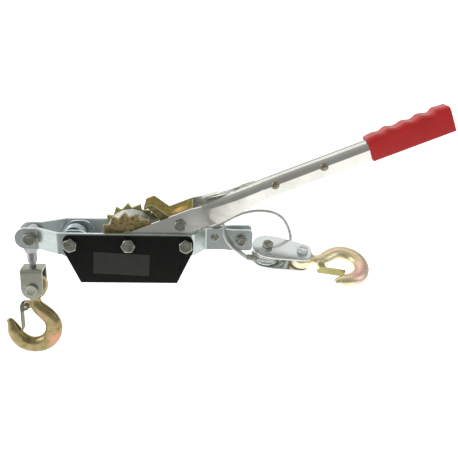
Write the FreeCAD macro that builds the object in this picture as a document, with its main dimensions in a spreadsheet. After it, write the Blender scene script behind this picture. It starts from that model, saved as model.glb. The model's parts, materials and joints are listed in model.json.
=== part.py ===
import FreeCAD, Part

import math
import os
import Sketcher
from FreeCAD import Placement, Rotation, Vector

# Hand-operated come along winch: two side straps hold a cable drum with two ratchet wheels,
# a forked lever handle with a driving pawl, a holding pawl, a swivelling anchor hook on the
# left and a pulley block with a second hook on the right.
# Frame: origin midway between the lower edges of the two cover plates, directly below the
# drum bolt. +X points to the pull hook, +Y away from the front cover, +Z up. Millimetres.

DIMENSIONS = [
    ("drum_height", 52.0, "drum bolt above the lower edges of the covers"),
    ("frame_width", 62.0, "across the outer faces of the side straps"),
    ("strap_thickness", 4.0, "side strap"),
    ("strap_height", 28.0, "side strap"),
    ("strap_bend_radius", 3.0, "inside radius of the strap bends"),
    ("bolt_spacing", 72.5, "drum bolt to each outer cover bolt"),
    ("lobe_reach", 127.3, "drum bolt to the knuckle bolt"),
    ("lobe_width", 28.0, "across the straps at the knuckle"),
    ("lobe_flat", 10.3, "straight lobe beyond the knuckle bolt, towards the drum"),
    ("lobe_tip", 19.4, "round end of the lobe beyond the knuckle bolt, away from the drum"),
    ("strap_left_bend", 88.5, "drum bolt to the left bends"),
    ("strap_right_bend", 82.2, "drum bolt to the right bends"),
    ("throat_width", 16.0, "across the straps at the cable throat"),
    ("throat_start", 98.0, "drum bolt to the throat"),
    ("throat_end", 121.0, "drum bolt to the end of the throat"),
    ("mouth_width", 22.0, "across the flared strap ends"),
    ("mouth_start", 134.0, "drum bolt to the flared ends"),
    ("strap_end", 158.8, "drum bolt to the right tips of the straps"),
    ("strap_corner", 5.0, "corner radius of the right tips"),
    ("end_bolt_reach", 144.0, "drum bolt to the cable bolt"),
    ("end_bolt_radius", 4.0, "cable bolt"),
    ("end_bolt_flats", 13.0, "cable bolt head across flats"),
    ("throat_rivet_reach", 110.0, "drum bolt to the throat rivet"),
    ("throat_rivet_rise", 2.5, "throat rivet above the drum bolt"),
    ("cover_thickness", 2.0, "cover plate"),
    ("cover_side", 9.5, "outer cover bolts to the side of a cover"),
    ("cover_foot_half", 61.5, "half length of the standing edge"),
    ("cover_top", 12.0, "top of a cover above the drum bolt"),
    ("cover_corner", 8.0, "corner radius of a cover"),
    ("cover_shoulder", 8.0, "cover corner, from the drum bolt down to where the slant starts"),
    ("label_length", 71.0, "bare label panel"),
    ("label_height", 29.5, "bare label panel"),
    ("label_shift", -9.2, "middle of the label panel from the drum bolt"),
    ("label_rise", 26.3, "middle of the label panel above the standing edge"),
    ("label_tilt", -2.9, "label panel, stuck on slightly askew, degrees"),
    ("label_thickness", 0.5, "bare label panel"),
    ("bolt_radius", 5.0, "frame bolts"),
    ("bolt_flats", 16.0, "frame bolt heads across flats"),
    ("head_height", 6.4, "hexagon heads"),
    ("nut_height", 8.0, "hexagon nuts"),
    ("bush_radius", 8.0, "drum and pawl bushes, outside"),
    ("spacer_radius", 6.2, "spacer tube at the right bolt, outside"),
    ("arm_gap", 0.6, "handle arm to side strap"),
    ("wheel_gap", 2.35, "ratchet wheel to handle arm"),
    ("wheel_thickness", 4.5, "ratchet wheel"),
    ("tip_radius", 39.5, "ratchet tooth tips"),
    ("root_radius", 33.0, "ratchet tooth roots"),
    ("tooth_count", 15, "ratchet teeth"),
    ("first_tip_angle", 72.5, "one tooth tip at rest, from +X, degrees"),
    ("tooth_face", 6.0, "angle taken by the steep face of a tooth, degrees"),
    ("tooth_land", 1.2, "angle taken by the blunt tip of a tooth, degrees"),
    ("barrel_radius", 14.0, "drum barrel"),
    ("rope_radius", 2.0, "wire rope"),
    ("winding_radius", 31.2, "middle of the rope in the outer layer"),
    ("winding_pitch", 4.5, "outer layer, from turn to turn"),
    ("winding_gap", 0.6875, "outer layer to each ratchet wheel"),
    ("handle_sheet", 2.8, "handle sheet"),
    ("handle_angle", 22.3, "handle above the horizontal at rest, degrees"),
    ("hub_radius", 15.0, "handle arms around the drum bolt"),
    ("arm_crease", 104.0, "drum bolt to the crease of the arms"),
    ("fork_end", 184.0, "drum bolt to where the arms meet the bar"),
    ("bar_width", 24.0, "handle bar"),
    ("bar_top", 11.2, "top of the bar over the line through the drum bolt"),
    ("bar_bottom", -13.8, "lower edge of the bar"),
    ("bar_lean", 2.2, "lower edges of the bar drawn in"),
    ("bar_end", 430.0, "drum bolt to the end of the bar"),
    ("pawl_bolt_reach", 69.6, "drum bolt to the bolt of the driving pawl"),
    ("pawl_bolt_drop", 1.6, "that bolt below the line through the drum bolt"),
    ("pawl_bolt_radius", 4.0, "bolt of the driving pawl"),
    ("pawl_bolt_flats", 14.0, "its head across flats"),
    ("pawl_sheet", 3.0, "pawl sheet"),
    ("rivet_first", 199.7, "drum bolt to the first bar rivet"),
    ("rivet_second", 265.2, "drum bolt to the second bar rivet"),
    ("rivet_radius", 3.0, "bar rivets"),
    ("rivet_head", 5.6, "radius of the rivet heads"),
    ("grip_start", 325.7, "drum bolt to the open end of the grip"),
    ("grip_wall", 2.4, "grip wall"),
    ("grip_top", 14.0, "grip between its finger bumps"),
    ("drive_pawl_lift", 16.0, "driving pawl, from rest into the teeth, degrees"),
    ("hold_pawl_lift", 11.0, "holding pawl, from rest into the teeth, degrees"),
    ("hold_pawl_back", 21.0, "pawl bolt down to the low edge of the holding pawl"),
    ("hold_pawl_crown", 14.5, "pawl bolt up to the crown of the holding pawl"),
    ("hold_pawl_left", 19.9, "pawl bolt to the left side of the holding pawl"),
    ("hold_pawl_right", 23.0, "pawl bolt to the right side of the holding pawl"),
    ("spring_radius", 13.5, "coil of the holding pawl spring"),
    ("spring_wire", 1.0, "radius of the spring wire"),
    ("knuckle_radius", 13.0, "knuckle barrel"),
    ("swivel_reach", 130.0, "drum bolt to the swivel stem"),
    ("neck_drop", 23.0, "knuckle bolt down to the foot of the neck"),
    ("collar_radius", 6.4, "collar below the neck"),
    ("collar_length", 14.0, "collar below the neck"),
    ("stem_radius", 4.2, "swivel stem"),
    ("stem_head_radius", 7.0, "riveted head of the stem, inside the clevis"),
    ("stem_head_height", 3.2, "riveted head of the stem, inside the clevis"),
    ("clevis_width", 28.5, "clevis across, along X"),
    ("clevis_span", 27.0, "across the outer faces of the clevis legs"),
    ("clevis_sheet", 3.6, "clevis sheet"),
    ("clevis_top", 7.5, "top face of the clevis above the standing plane"),
    ("clevis_drop", 27.5, "clevis top face down to the hook bolt"),
    ("hook_eye_radius", 17.5, "outside of a hook's eye"),
    ("hook_eye_thickness", 16.0, "hook eye along its bolt"),
    ("hook_bowl_radius", 27.0, "middle line of the hook's bowl"),
    ("hook_bowl_drop", 62.0, "hook bolt down to the middle of the bowl"),
    ("hook_bowl_shift", -5.0, "middle of the bowl from the line of the eye"),
    ("hook_bolt_radius", 5.0, "bolts that carry the hooks"),
    ("latch_out", 12.5, "latch pin from the line of the eye"),
    ("latch_drop", 28.5, "hook bolt down to the latch pin"),
    ("latch_boss_radius", 4.6, "hook's boss round the latch pin"),
    ("latch_pin_radius", 1.6, "latch pin"),
    ("latch_length", 36.0, "latch pin down to the end of the blade"),
    ("latch_back", 7.4, "latch pin to the outside of the blade"),
    ("latch_width", 13.0, "latch across"),
    ("latch_sheet", 1.4, "latch sheet"),
    ("cheek_sheet", 2.5, "pulley block cheek"),
    ("cheek_gap", 16.8, "between the cheeks"),
    ("cheek_radius", 20.0, "cheek around the sheave bolt"),
    ("block_pitch", 46.0, "sheave bolt to hook bolt in the block"),
    ("pull_hook_share", 0.9, "size of the pull hook over the anchor hook's"),
    ("pull_hook_swing", 2.3, "pull hook turned in the block at rest, degrees"),
    ("block_reach", 178.9, "drum bolt to the sheave"),
    ("block_offset", -5.0, "middle of the sheave from the middle of the frame"),
    ("block_height", 34.5, "middle of the sheave above the standing plane"),
    ("block_heading", -8.6, "block from +X towards +Y, degrees"),
    ("block_dip", -6.5, "block above the level, degrees"),
    ("block_roll", -23.8, "block turned about its own length, degrees"),
    ("sheave_radius", 19.0, "sheave rim"),
    ("groove_radius", 16.7, "middle of the rope on the sheave"),
    ("sheave_thickness", 13.0, "sheave rim"),
    ("ferrule_radius", 4.6, "swaged rope sleeve"),
    ("ferrule_length", 13.0, "swaged rope sleeve"),
    ("fit", 0.3, "clearance between pieces that move past each other"),
    ("seat", 0.15, "clearance round pieces that are fixed together"),
]

doc = FreeCAD.newDocument("come_along_winch")
sheet = doc.addObject("Spreadsheet::Sheet", "Dimensions")
for row, (alias, value, note) in enumerate(DIMENSIONS, 1):
    sheet.set("A%d" % row, note)
    sheet.set("B%d" % row, str(value))
    sheet.setAlias("B%d" % row, alias)
doc.recompute()


class Sizes:
    """The driving dimensions, read from the spreadsheet."""


for alias, _value, _note in DIMENSIONS:
    setattr(Sizes, alias, float(getattr(sheet, alias)))
S = Sizes

X, Y, Z = Vector(1, 0, 0), Vector(0, 1, 0), Vector(0, 0, 1)
PARTS = []


def cell(name):
    """Expression for one cell of the sheet."""
    return "Dimensions." + name


def polar(radius, degrees):
    """Point in the XZ plane about the origin."""
    angle = math.radians(degrees)
    return radius * math.cos(angle), radius * math.sin(angle)


def turned(point, centre, degrees):
    """Point (x, z) turned anticlockwise, seen from the front, about a centre."""
    angle = math.radians(degrees)
    dx, dz = point[0] - centre[0], point[1] - centre[1]
    return (centre[0] + dx * math.cos(angle) - dz * math.sin(angle),
            centre[1] + dx * math.sin(angle) + dz * math.cos(angle))


def aim(direction):
    """Rotation that turns +Z to a direction."""
    return Rotation(Z, direction)


def keep(feature, label):
    """Mark a document object as a finished sub-part."""
    feature.Label = label
    PARTS.append(feature)


# Primitives bound to the sheet

def cylinder(name, radius, height, base, direction=Z):
    """Cylinder whose radius and height are expressions."""
    item = doc.addObject("Part::Cylinder", name)
    item.setExpression("Radius", radius)
    item.setExpression("Height", height)
    item.Placement = Placement(base, aim(direction))
    return item


def cut(name, base, *tools):
    """Base less its tools."""
    item = doc.addObject("Part::Cut", name)
    item.Base = base
    item.Tool = tools[0] if len(tools) == 1 else fuse(name + "_tools", *tools)
    return item


def fuse(name, *shapes):
    """Several solids joined into one."""
    item = doc.addObject("Part::MultiFuse", name)
    item.Shapes = list(shapes)
    item.Refine = True
    return item


def common(name, *shapes):
    """What several solids share."""
    item = doc.addObject("Part::MultiCommon", name)
    item.Shapes = list(shapes)
    return item


def group(name, *shapes):
    """Separate solids kept together in one node."""
    item = doc.addObject("Part::Compound", name)
    item.Links = list(shapes)
    return item


def made(name, shape, placement=None):
    """Shape made with Part's own functions."""
    item = doc.addObject("Part::Feature", name)
    item.Shape = shape
    if placement is not None:
        item.Placement = placement
    return item


# Outlines, sketches and pads

def rounded_edges(points):
    """Closed outline through (x, y) or (x, y, corner radius) points, as edges."""
    count = len(points)
    starts, ends, arcs = [], [], []
    for i in range(count):
        here = Vector(points[i][0], points[i][1], 0)
        before = Vector(points[i - 1][0], points[i - 1][1], 0)
        after = Vector(points[(i + 1) % count][0], points[(i + 1) % count][1], 0)
        radius = points[i][2] if len(points[i]) > 2 else 0.0
        back, ahead = (before - here).normalize(), (after - here).normalize()
        half = 0.5 * back.getAngle(ahead)
        if radius <= 0.0 or half > math.radians(89.5):
            starts.append(here)
            ends.append(here)
            arcs.append(None)
            continue
        reach = radius / math.tan(half)
        middle = here + (back + ahead).normalize() * (radius / math.sin(half) - radius)
        starts.append(here + back * reach)
        ends.append(here + ahead * reach)
        arcs.append(Part.Arc(starts[-1], middle, ends[-1]))
    edges = []
    for i in range(count):
        if arcs[i] is not None:
            edges.append(arcs[i])
        following = starts[(i + 1) % count]
        if (following - ends[i]).Length > 1e-6:
            edges.append(Part.LineSegment(ends[i], following))
    return edges


def sketch_on(body, role, edges, name):
    """Sketch on one of the body's own origin planes."""
    sketch = body.newObject("Sketcher::SketchObject", name)
    plane = [item for item in body.Origin.OriginFeatures if item.Role == role][0]
    sketch.AttachmentSupport = [(plane, "")]
    sketch.MapMode = "FlatFace"
    for number, edge in enumerate(edges):
        sketch.addGeometry(edge)
        sketch.addConstraint(Sketcher.Constraint("Block", number))
    return sketch


def circle(x, y, radius):
    """Circle for a sketch."""
    return Part.Circle(Vector(x, y, 0), Z, radius)


def plate(name, edges, thickness, role="XZ_Plane", centre=Vector(), rotation=Rotation()):
    """Body padded to both sides of an origin plane, its thickness an expression."""
    body = doc.addObject("PartDesign::Body", name)
    sketch = sketch_on(body, role, edges, name + "_outline")
    pad = body.newObject("PartDesign::Pad", name + "_pad")
    pad.Profile = sketch
    pad.Midplane = True
    pad.setExpression("Length", thickness)
    body.Placement = Placement(centre, rotation)
    return body


def pierce(body, edges, role="XZ_Plane"):
    """Cut an outline through everything, both ways from the plane."""
    sketch = sketch_on(body, role, edges, body.Name + "_cut")
    pocket = body.newObject("PartDesign::Pocket", body.Name + "_pocket")
    pocket.Profile = sketch
    pocket.Type = "ThroughAll"
    pocket.Midplane = True
    return pocket


def offset_line(points, distance):
    """Polyline moved sideways, to the left of its run, with mitred corners."""
    moved = []
    for i, (x, y) in enumerate(points):
        sides = []
        if i > 0:
            sides.append(Vector(x - points[i - 1][0], y - points[i - 1][1], 0).normalize())
        if i < len(points) - 1:
            sides.append(Vector(points[i + 1][0] - x, points[i + 1][1] - y, 0).normalize())
        normals = [Vector(-side.y, side.x, 0) for side in sides]
        mean = normals[0] if len(normals) == 1 else (normals[0] + normals[1]).normalize()
        shift = distance / mean.dot(normals[0])
        moved.append((x + mean.x * shift, y + mean.y * shift))
    return moved


# Tubes along paths

def tangent_arc(start, apex, end):
    """Arc from start to end whose tangents there meet at the apex."""
    middle = (start + end) * 0.5
    half_chord = (end - start).Length * 0.5
    rise = (apex - middle).Length
    if rise < 1e-7 * half_chord:
        return Part.LineSegment(start, end).toShape()
    bulge = half_chord * math.tan(0.5 * math.atan2(rise, half_chord))
    return Part.Arc(start, middle + (apex - middle) * (bulge / rise), end).toShape()


def cord_path(points, print_name):
    """Straight runs joined by tangent arcs, each as large as its two runs allow."""
    edges, radii = [], []
    here = points[0]
    for i in range(1, len(points) - 1):
        back, ahead = points[i - 1] - points[i], points[i + 1] - points[i]
        reach = 0.45 * min(back.Length, ahead.Length)
        half_turn = 0.5 * (math.pi - back.getAngle(ahead))
        start = points[i] + back * (reach / back.Length)
        end = points[i] + ahead * (reach / ahead.Length)
        radii.append(reach / math.tan(half_turn))
        edges.append(Part.LineSegment(here, start).toShape())
        edges.append(tangent_arc(start, points[i], end))
        here = end
    edges.append(Part.LineSegment(here, points[-1]).toShape())
    print("%s radii mm:" % print_name, " ".join("%.0f" % radius for radius in radii))
    return Part.Wire(edges)


def tube(path, radius, name):
    """Round tube along a wire, its volume compared with section times length."""
    start = path.Edges[0]
    direction = start.tangentAt(start.FirstParameter)
    profile = Part.Wire(Part.makeCircle(radius, start.valueAt(start.FirstParameter), direction))
    solid = path.makePipeShell([profile], True, False)
    expected = math.pi * radius ** 2 * path.Length
    print("%s length %.1f mm, volume ratio %.4f" % (name, path.Length, solid.Volume / expected))
    return solid


def biarc(start, start_way, end, end_way):
    """Two arcs that leave start and reach end along the given unit directions."""
    chord = end - start
    ways = start_way + end_way
    square = 2.0 * (start_way.dot(end_way) - 1.0)
    linear = -2.0 * chord.dot(ways)
    constant = chord.dot(chord)
    if abs(square) < 1e-9:
        reach = constant / -linear
    else:
        root = math.sqrt(linear ** 2 - 4.0 * square * constant)
        reach = (-linear - root) / (2.0 * square)
    first, last = start + start_way * reach, end - end_way * reach
    joint = (first + last) * 0.5
    return [tangent_arc(start, first, joint), tangent_arc(joint, last, end)]


def coil_path(centre, radius, pitch, turns, start_angle, lead):
    """Coil about a line along +Y, with straight ends, as biarcs of a quarter turn."""
    def point(turn):
        angle = math.radians(start_angle) + 2.0 * math.pi * turn
        return centre + Vector(radius * math.cos(angle), pitch * turn, radius * math.sin(angle))

    def way(turn):
        angle = math.radians(start_angle) + 2.0 * math.pi * turn
        return Vector(-radius * math.sin(angle), pitch / (2.0 * math.pi),
                      radius * math.cos(angle)).normalize()
    steps = int(round(turns * 4))
    edges = [Part.LineSegment(point(0) - way(0) * lead, point(0)).toShape()]
    for i in range(steps):
        edges += biarc(point(i / 4.0), way(i / 4.0), point((i + 1) / 4.0), way((i + 1) / 4.0))
    last = steps / 4.0
    edges.append(Part.LineSegment(point(last), point(last) + way(last) * lead).toShape())
    return Part.Wire(edges)


def print_coil_gap(path, radius, name):
    """Least gap of a coil to itself, measured on points along it."""
    points = path.discretize(Distance=radius)
    skip = 8
    least = min((points[i] - points[j]).Length
                for i in range(len(points)) for j in range(i + skip, len(points)))
    print("%s least gap to itself %.2f" % (name, least - 2.0 * radius))


# Fasteners

def hex_head(name, flats, height, base, direction, flip=False):
    """Hexagon with its outer corners chamfered, growing from base along direction."""
    prism = doc.addObject("Part::Prism", name + "_hexagon")
    prism.Polygon = 6
    prism.setExpression("Circumradius", "%s / 2 / cos(30 deg)" % flats)
    prism.setExpression("Height", height)
    prism.Placement = Placement(base, aim(direction))
    cone = doc.addObject("Part::Cone", name + "_chamfer")
    cone.setExpression("Radius1", "%s * 0.475 + %s * 1.7" % (flats, height))
    cone.setExpression("Radius2", "%s * 0.475" % flats)
    cone.setExpression("Height", height)
    cone.Placement = Placement(base, aim(direction))
    return common(name, prism, cone)


def hex_nut(name, flats, height, bore, base, direction):
    """Hexagon nut with a plain bore."""
    hexagon = hex_head(name + "_body", flats, height, base, direction)
    hole = cylinder(name + "_bore", bore, height + " + 2", base - direction * 1.0, direction)
    return cut(name, hexagon, hole)


def bolt(name, flats, head, shank, length, base, direction):
    """Hexagon bolt: base is the seat of its head, direction the way its shank goes."""
    top = hex_head(name + "_head", flats, head, base, -direction)
    stem = cylinder(name + "_shank", shank, length, base, direction)
    return fuse(name, top, stem)


# Places worked out from the sheet

ZD = S.drum_height
HALF = S.frame_width / 2.0
COVER_FACE = HALF + S.cover_thickness
PAWL_AXIS = (-S.bolt_spacing, ZD)
LOBE = Vector(-S.lobe_reach, 0, ZD)
COVER_SIDE = S.bolt_spacing + S.cover_side
ARM_WIDTH = S.frame_width - 2.0 * (S.strap_thickness + S.arm_gap)
WHEEL_PITCH = ARM_WIDTH - 2.0 * (S.handle_sheet + S.wheel_gap) - S.wheel_thickness
WHEEL_INSIDE = (WHEEL_PITCH - S.wheel_thickness) / 2.0
WHEEL_OUTSIDE = (WHEEL_PITCH + S.wheel_thickness) / 2.0
WINDING_SPAN = 2.0 * (WHEEL_INSIDE - S.rope_radius - S.winding_gap)
ACROSS_ARMS = "(%s - 2 * %s - 2 * %s)" % (cell("frame_width"), cell("strap_thickness"), cell("arm_gap"))
ACROSS_WHEELS = "(%s - 2 * %s - 2 * %s - %s)" % (ACROSS_ARMS, cell("handle_sheet"), cell("wheel_gap"),
                                                 cell("wheel_thickness"))
ROPE_LEAVES = 77.0
HANDLE_TURN = Placement(Vector(0, 0, ZD), Rotation(Y, -S.handle_angle))


def side_strap(side, label):
    """Bent side strap with a round lobe on the left and a flared tip on the right."""
    tilt = S.strap_height / 2.0
    left = -S.lobe_reach - S.lobe_tip
    line = [(left, S.lobe_width / 2), (-S.lobe_reach + S.lobe_flat, S.lobe_width / 2),
            (-S.strap_left_bend, HALF), (S.strap_right_bend, HALF),
            (S.throat_start, S.throat_width / 2), (S.throat_end, S.throat_width / 2),
            (S.mouth_start, S.mouth_width / 2), (S.strap_end, S.mouth_width / 2)]
    if side < 0:
        line = [(x, -y) for x, y in line]
    thickness = -side * S.strap_thickness
    inner = offset_line(line, thickness)
    edges = bent_strip(line, inner, S.strap_bend_radius, S.strap_thickness)
    body = plate(label, edges, cell("strap_height"), "XY_Plane", Vector(0, 0, ZD))
    far = S.strap_end + 2 * S.strap_height
    frame = rounded_edges([(-far, -far), (far, -far), (far, far), (-far, far)])
    trim = rounded_edges([(left, -tilt, tilt - 0.01), (S.strap_end, -tilt, S.strap_corner),
                          (S.strap_end, tilt, S.strap_corner), (left, tilt, tilt - 0.01)])
    pierce(body, frame + trim)
    reach = S.bolt_radius + S.seat
    holes = [circle(x, 0, reach) for x in (-S.lobe_reach, -S.bolt_spacing, 0, S.bolt_spacing)]
    holes.append(circle(S.end_bolt_reach, 0, S.end_bolt_radius + S.seat))
    holes.append(circle(S.throat_rivet_reach, S.throat_rivet_rise, S.rivet_radius + S.seat))
    pierce(body, holes)
    keep(body, label)


def bent_strip(outer, inner, bend, thickness):
    """Closed outline between two offset lines, its bends rounded alike."""
    outline = [outer[0]]
    for i in range(1, len(outer) - 1):
        outline.append((*outer[i], bend_radius(outer, inner, i, bend, thickness)))
    outline += [outer[-1], inner[-1]]
    for i in range(len(inner) - 2, 0, -1):
        outline.append((*inner[i], bend_radius(inner, outer, i, bend, thickness)))
    outline.append(inner[0])
    return rounded_edges(outline)


def bend_radius(line, other, i, bend, thickness):
    """Inside radius on the hollow side of a bend, outside radius on the other."""
    before, after = Vector(*line[i - 1], 0), Vector(*line[i + 1], 0)
    here = Vector(*line[i], 0)
    inwards = (before - here).normalize() + (after - here).normalize()
    hollow = inwards.dot(Vector(*other[i], 0) - here) < 0
    return bend if hollow else bend + thickness


def cover_plate(side, label):
    """Trapezoid cover on the outside of a strap; its lower edge stands on the bench."""
    top, corner = S.cover_top, S.cover_corner
    edges = rounded_edges([(-COVER_SIDE, top, corner),
                           (-COVER_SIDE, -S.cover_shoulder, corner),
                           (-S.cover_foot_half, -ZD), (S.cover_foot_half, -ZD),
                           (COVER_SIDE, -S.cover_shoulder, corner),
                           (COVER_SIDE, top, corner)])
    holes = [circle(x, 0, S.bolt_radius + S.seat) for x in (-S.bolt_spacing, 0, S.bolt_spacing)]
    centre = Vector(0, side * (HALF + S.cover_thickness / 2.0), ZD)
    keep(plate(label, edges + holes, cell("cover_thickness"), centre=centre), label)


def label_panel():
    """Bare panel on the front cover."""
    half, rise = S.label_length / 2.0, S.label_height / 2.0
    corners = [(-half, -rise), (half, -rise), (half, rise), (-half, rise)]
    edges = rounded_edges([turned(corner, (0.0, 0.0), S.label_tilt) for corner in corners])
    centre = Vector(S.label_shift, -COVER_FACE - S.label_thickness / 2.0, S.label_rise)
    keep(plate("label_panel", edges, cell("label_thickness"), centre=centre), "label_panel")


def frame_bolts():
    """The three long bolts through covers and straps, and their nuts."""
    nuts = []
    for label, x in (("pawl_bolt", -S.bolt_spacing), ("drum_bolt", 0.0), ("spacer_bolt", S.bolt_spacing)):
        length = "%s + 2 * %s + %s + 3" % (cell("frame_width"), cell("cover_thickness"), cell("nut_height"))
        keep(bolt(label, cell("bolt_flats"), cell("head_height"), cell("bolt_radius"), length,
                  Vector(x, -COVER_FACE, ZD), Y), label)
        nuts.append(hex_nut(label + "_nut", cell("bolt_flats"), cell("nut_height"),
                            "%s + %s" % (cell("bolt_radius"), cell("seat")),
                            Vector(x, COVER_FACE, ZD), Y))
    keep(group("frame_nuts", *nuts), "frame_nuts")


def bush(label, x, radius):
    """Tube over a frame bolt that keeps the straps apart."""
    inside = HALF - S.strap_thickness
    length = "%s - 2 * %s" % (cell("frame_width"), cell("strap_thickness"))
    base = Vector(x, -inside, ZD)
    outer = cylinder(label + "_outer", radius, length, base, Y)
    bore = cylinder(label + "_bore", "%s + %s" % (cell("bolt_radius"), cell("seat")), length, base, Y)
    keep(cut(label, outer, bore), label)


def throat_rivet():
    """Rivet through the throat, with a collar that guides the rope."""
    half = S.throat_width / 2.0
    at = Vector(S.throat_rivet_reach, 0, ZD + S.throat_rivet_rise)
    shank = cylinder("throat_rivet_shank", cell("rivet_radius"), cell("throat_width"), at - Y * half, Y)
    collar = cylinder("throat_rivet_collar", "%s + 2" % cell("rivet_radius"),
                      "%s - 2 * %s" % (cell("throat_width"), cell("strap_thickness")),
                      at - Y * (half - S.strap_thickness), Y)
    heads = [round_head("throat_rivet_front", cell("rivet_head"), 2.6, at - Y * half, -Y),
             round_head("throat_rivet_rear", cell("rivet_head"), 2.6, at + Y * half, Y)]
    keep(fuse("throat_rivet", shank, collar, *heads), "throat_rivet")


def round_head(name, radius, height, base, direction):
    """Low domed rivet or bolt head."""
    dome = doc.addObject("Part::Cone", name)
    dome.setExpression("Radius1", radius)
    dome.setExpression("Radius2", "%s * 0.62" % radius)
    dome.Height = height
    dome.Placement = Placement(base, aim(direction))
    return dome


def cross_bolt(label, x, half_width, radius, flats):
    """Bolt and nut across the straps at one end of the frame."""
    length = "%s + %s + 3" % (cell(half_width), cell("nut_height"))
    half = getattr(S, half_width) / 2.0
    keep(bolt(label, cell(flats), cell("head_height"), cell(radius), length, Vector(x, -half, ZD), Y), label)
    nut = hex_nut(label + "_nut", cell(flats), cell("nut_height"),
                  "%s + %s" % (cell(radius), cell("seat")), Vector(x, half, ZD), Y)
    keep(nut, label + "_nut")


# Drum

def tooth_outline():
    """Ratchet outline about the drum bolt: a long ramp, then a steep face, per tooth."""
    count = int(S.tooth_count)
    step = 360.0 / count
    points = []
    for i in range(count):
        tip = S.first_tip_angle + i * step
        points += [(*polar(S.root_radius, tip - S.tooth_face), 1.5), (*polar(S.tip_radius, tip), 0.4),
                   (*polar(S.tip_radius, tip + S.tooth_land), 0.6)]
    return rounded_edges(points)


def ratchet_wheel(side, label):
    """Toothed plate at one end of the drum."""
    hole = circle(0, 0, S.barrel_radius + S.seat)
    centre = Vector(0, side * WHEEL_PITCH / 2.0, ZD)
    body = plate(label, tooth_outline() + [hole], cell("wheel_thickness"), centre=centre)
    keep(body, label)


def drum():
    """Barrel, rope core and the wound outer layer."""
    length = "%s + %s" % (ACROSS_WHEELS, cell("wheel_thickness"))
    base = Vector(0, -WHEEL_OUTSIDE, ZD)
    outer = cylinder("drum_barrel_outer", cell("barrel_radius"), length, base, Y)
    bore = cylinder("drum_barrel_bore", "%s + %s / 2" % (cell("bush_radius"), cell("fit")), length, base, Y)
    keep(cut("drum_barrel", outer, bore), "drum_barrel")
    length = "%s - %s - 2 * %s" % (ACROSS_WHEELS, cell("wheel_thickness"), cell("seat"))
    base = Vector(0, -WHEEL_INSIDE + S.seat, ZD)
    core_radius = "%s - %s - %s" % (cell("winding_radius"), cell("rope_radius"), cell("seat"))
    core = cylinder("rope_core_outer", core_radius, length, base, Y)
    hole = cylinder("rope_core_bore", "%s + %s" % (cell("barrel_radius"), cell("seat")), length, base, Y)
    keep(cut("rope_core", core, hole), "rope_core")
    path = coil_path(Vector(0, -WINDING_SPAN / 2.0, ZD), S.winding_radius, S.winding_pitch,
                     WINDING_SPAN / S.winding_pitch, ROPE_LEAVES, 2.0 * S.rope_radius)
    print_coil_gap(path, S.rope_radius, "rope_winding")
    keep(made("rope_winding", tube(path, S.rope_radius, "rope_winding")), "rope_winding")


# Handle, in its own frame: x along the bar from the drum bolt, z square to it

def arm_section(x, outer, sweep, bottom, lean, side):
    """Wall of one arm at x: leaning in below, curled inwards above by sweep degrees."""
    radius, wall, top = S.bar_width / 2.0, S.handle_sheet, S.bar_top
    foot, heel = side * (outer - lean), side * (outer - lean - wall)
    turn = math.radians(sweep)
    tangent = top - radius * math.sin(turn)

    def point(depth, angle):
        reach = radius - depth
        return Vector(x, side * (outer - radius + reach * math.cos(angle)), tangent + reach * math.sin(angle))
    edges = [Part.LineSegment(Vector(x, foot, bottom), point(0, 0)).toShape(),
             Part.Arc(point(0, 0), point(0, turn / 2), point(0, turn)).toShape(),
             Part.LineSegment(point(0, turn), point(wall, turn)).toShape(),
             Part.Arc(point(wall, turn), point(wall, turn / 2), point(wall, 0)).toShape(),
             Part.LineSegment(point(wall, 0), Vector(x, heel, bottom)).toShape(),
             Part.LineSegment(Vector(x, heel, bottom), Vector(x, foot, bottom)).toShape()]
    return Part.Wire(edges)


def bar_fill(start, end, inset=0.0):
    """Solid bar between two distances: round top, leaning walls, inset from the outside."""
    radius = S.bar_width / 2.0 - inset
    foot, bottom = radius - S.bar_lean, S.bar_bottom
    tangent = S.bar_top - S.bar_width / 2.0
    edges = [Part.LineSegment(Vector(start, -foot, bottom), Vector(start, -radius, tangent)),
             Part.Arc(Vector(start, -radius, tangent), Vector(start, 0, tangent + radius),
                      Vector(start, radius, tangent)),
             Part.LineSegment(Vector(start, radius, tangent), Vector(start, foot, bottom)),
             Part.LineSegment(Vector(start, foot, bottom), Vector(start, -foot, bottom))]
    wire = Part.Wire([edge.toShape() for edge in edges])
    return Part.Face(wire).extrude(X * (end - start))


def arm_plate(side):
    """Flat arm from the hub to the crease, with its hub and pawl bolt holes."""
    half = S.hub_radius
    outline = rounded_edges([(-half, -half, 0.999 * half), (S.arm_crease, -half), (S.arm_crease, S.bar_top),
                             (S.arm_crease - 0.93 * half, 0.89 * half, 0.53 * half),
                             (-half, 0.89 * half, 0.88 * half)])
    face = Part.Face([Part.Wire([edge.toShape() for edge in outline])])
    solid = face.extrude(Z * S.handle_sheet)
    for (x, y), radius in (((0.0, 0.0), S.bush_radius + S.fit / 2.0),
                           ((S.pawl_bolt_reach, -S.pawl_bolt_drop), S.pawl_bolt_radius + S.seat)):
        solid = solid.cut(Part.makeCylinder(radius, S.handle_sheet, Vector(x, y, 0)))
    outer = ARM_WIDTH / 2.0
    start = -outer if side < 0 else outer - S.handle_sheet
    solid.Placement = Placement(Vector(0, start + S.handle_sheet, 0), Rotation(X, 90))
    return solid


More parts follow.
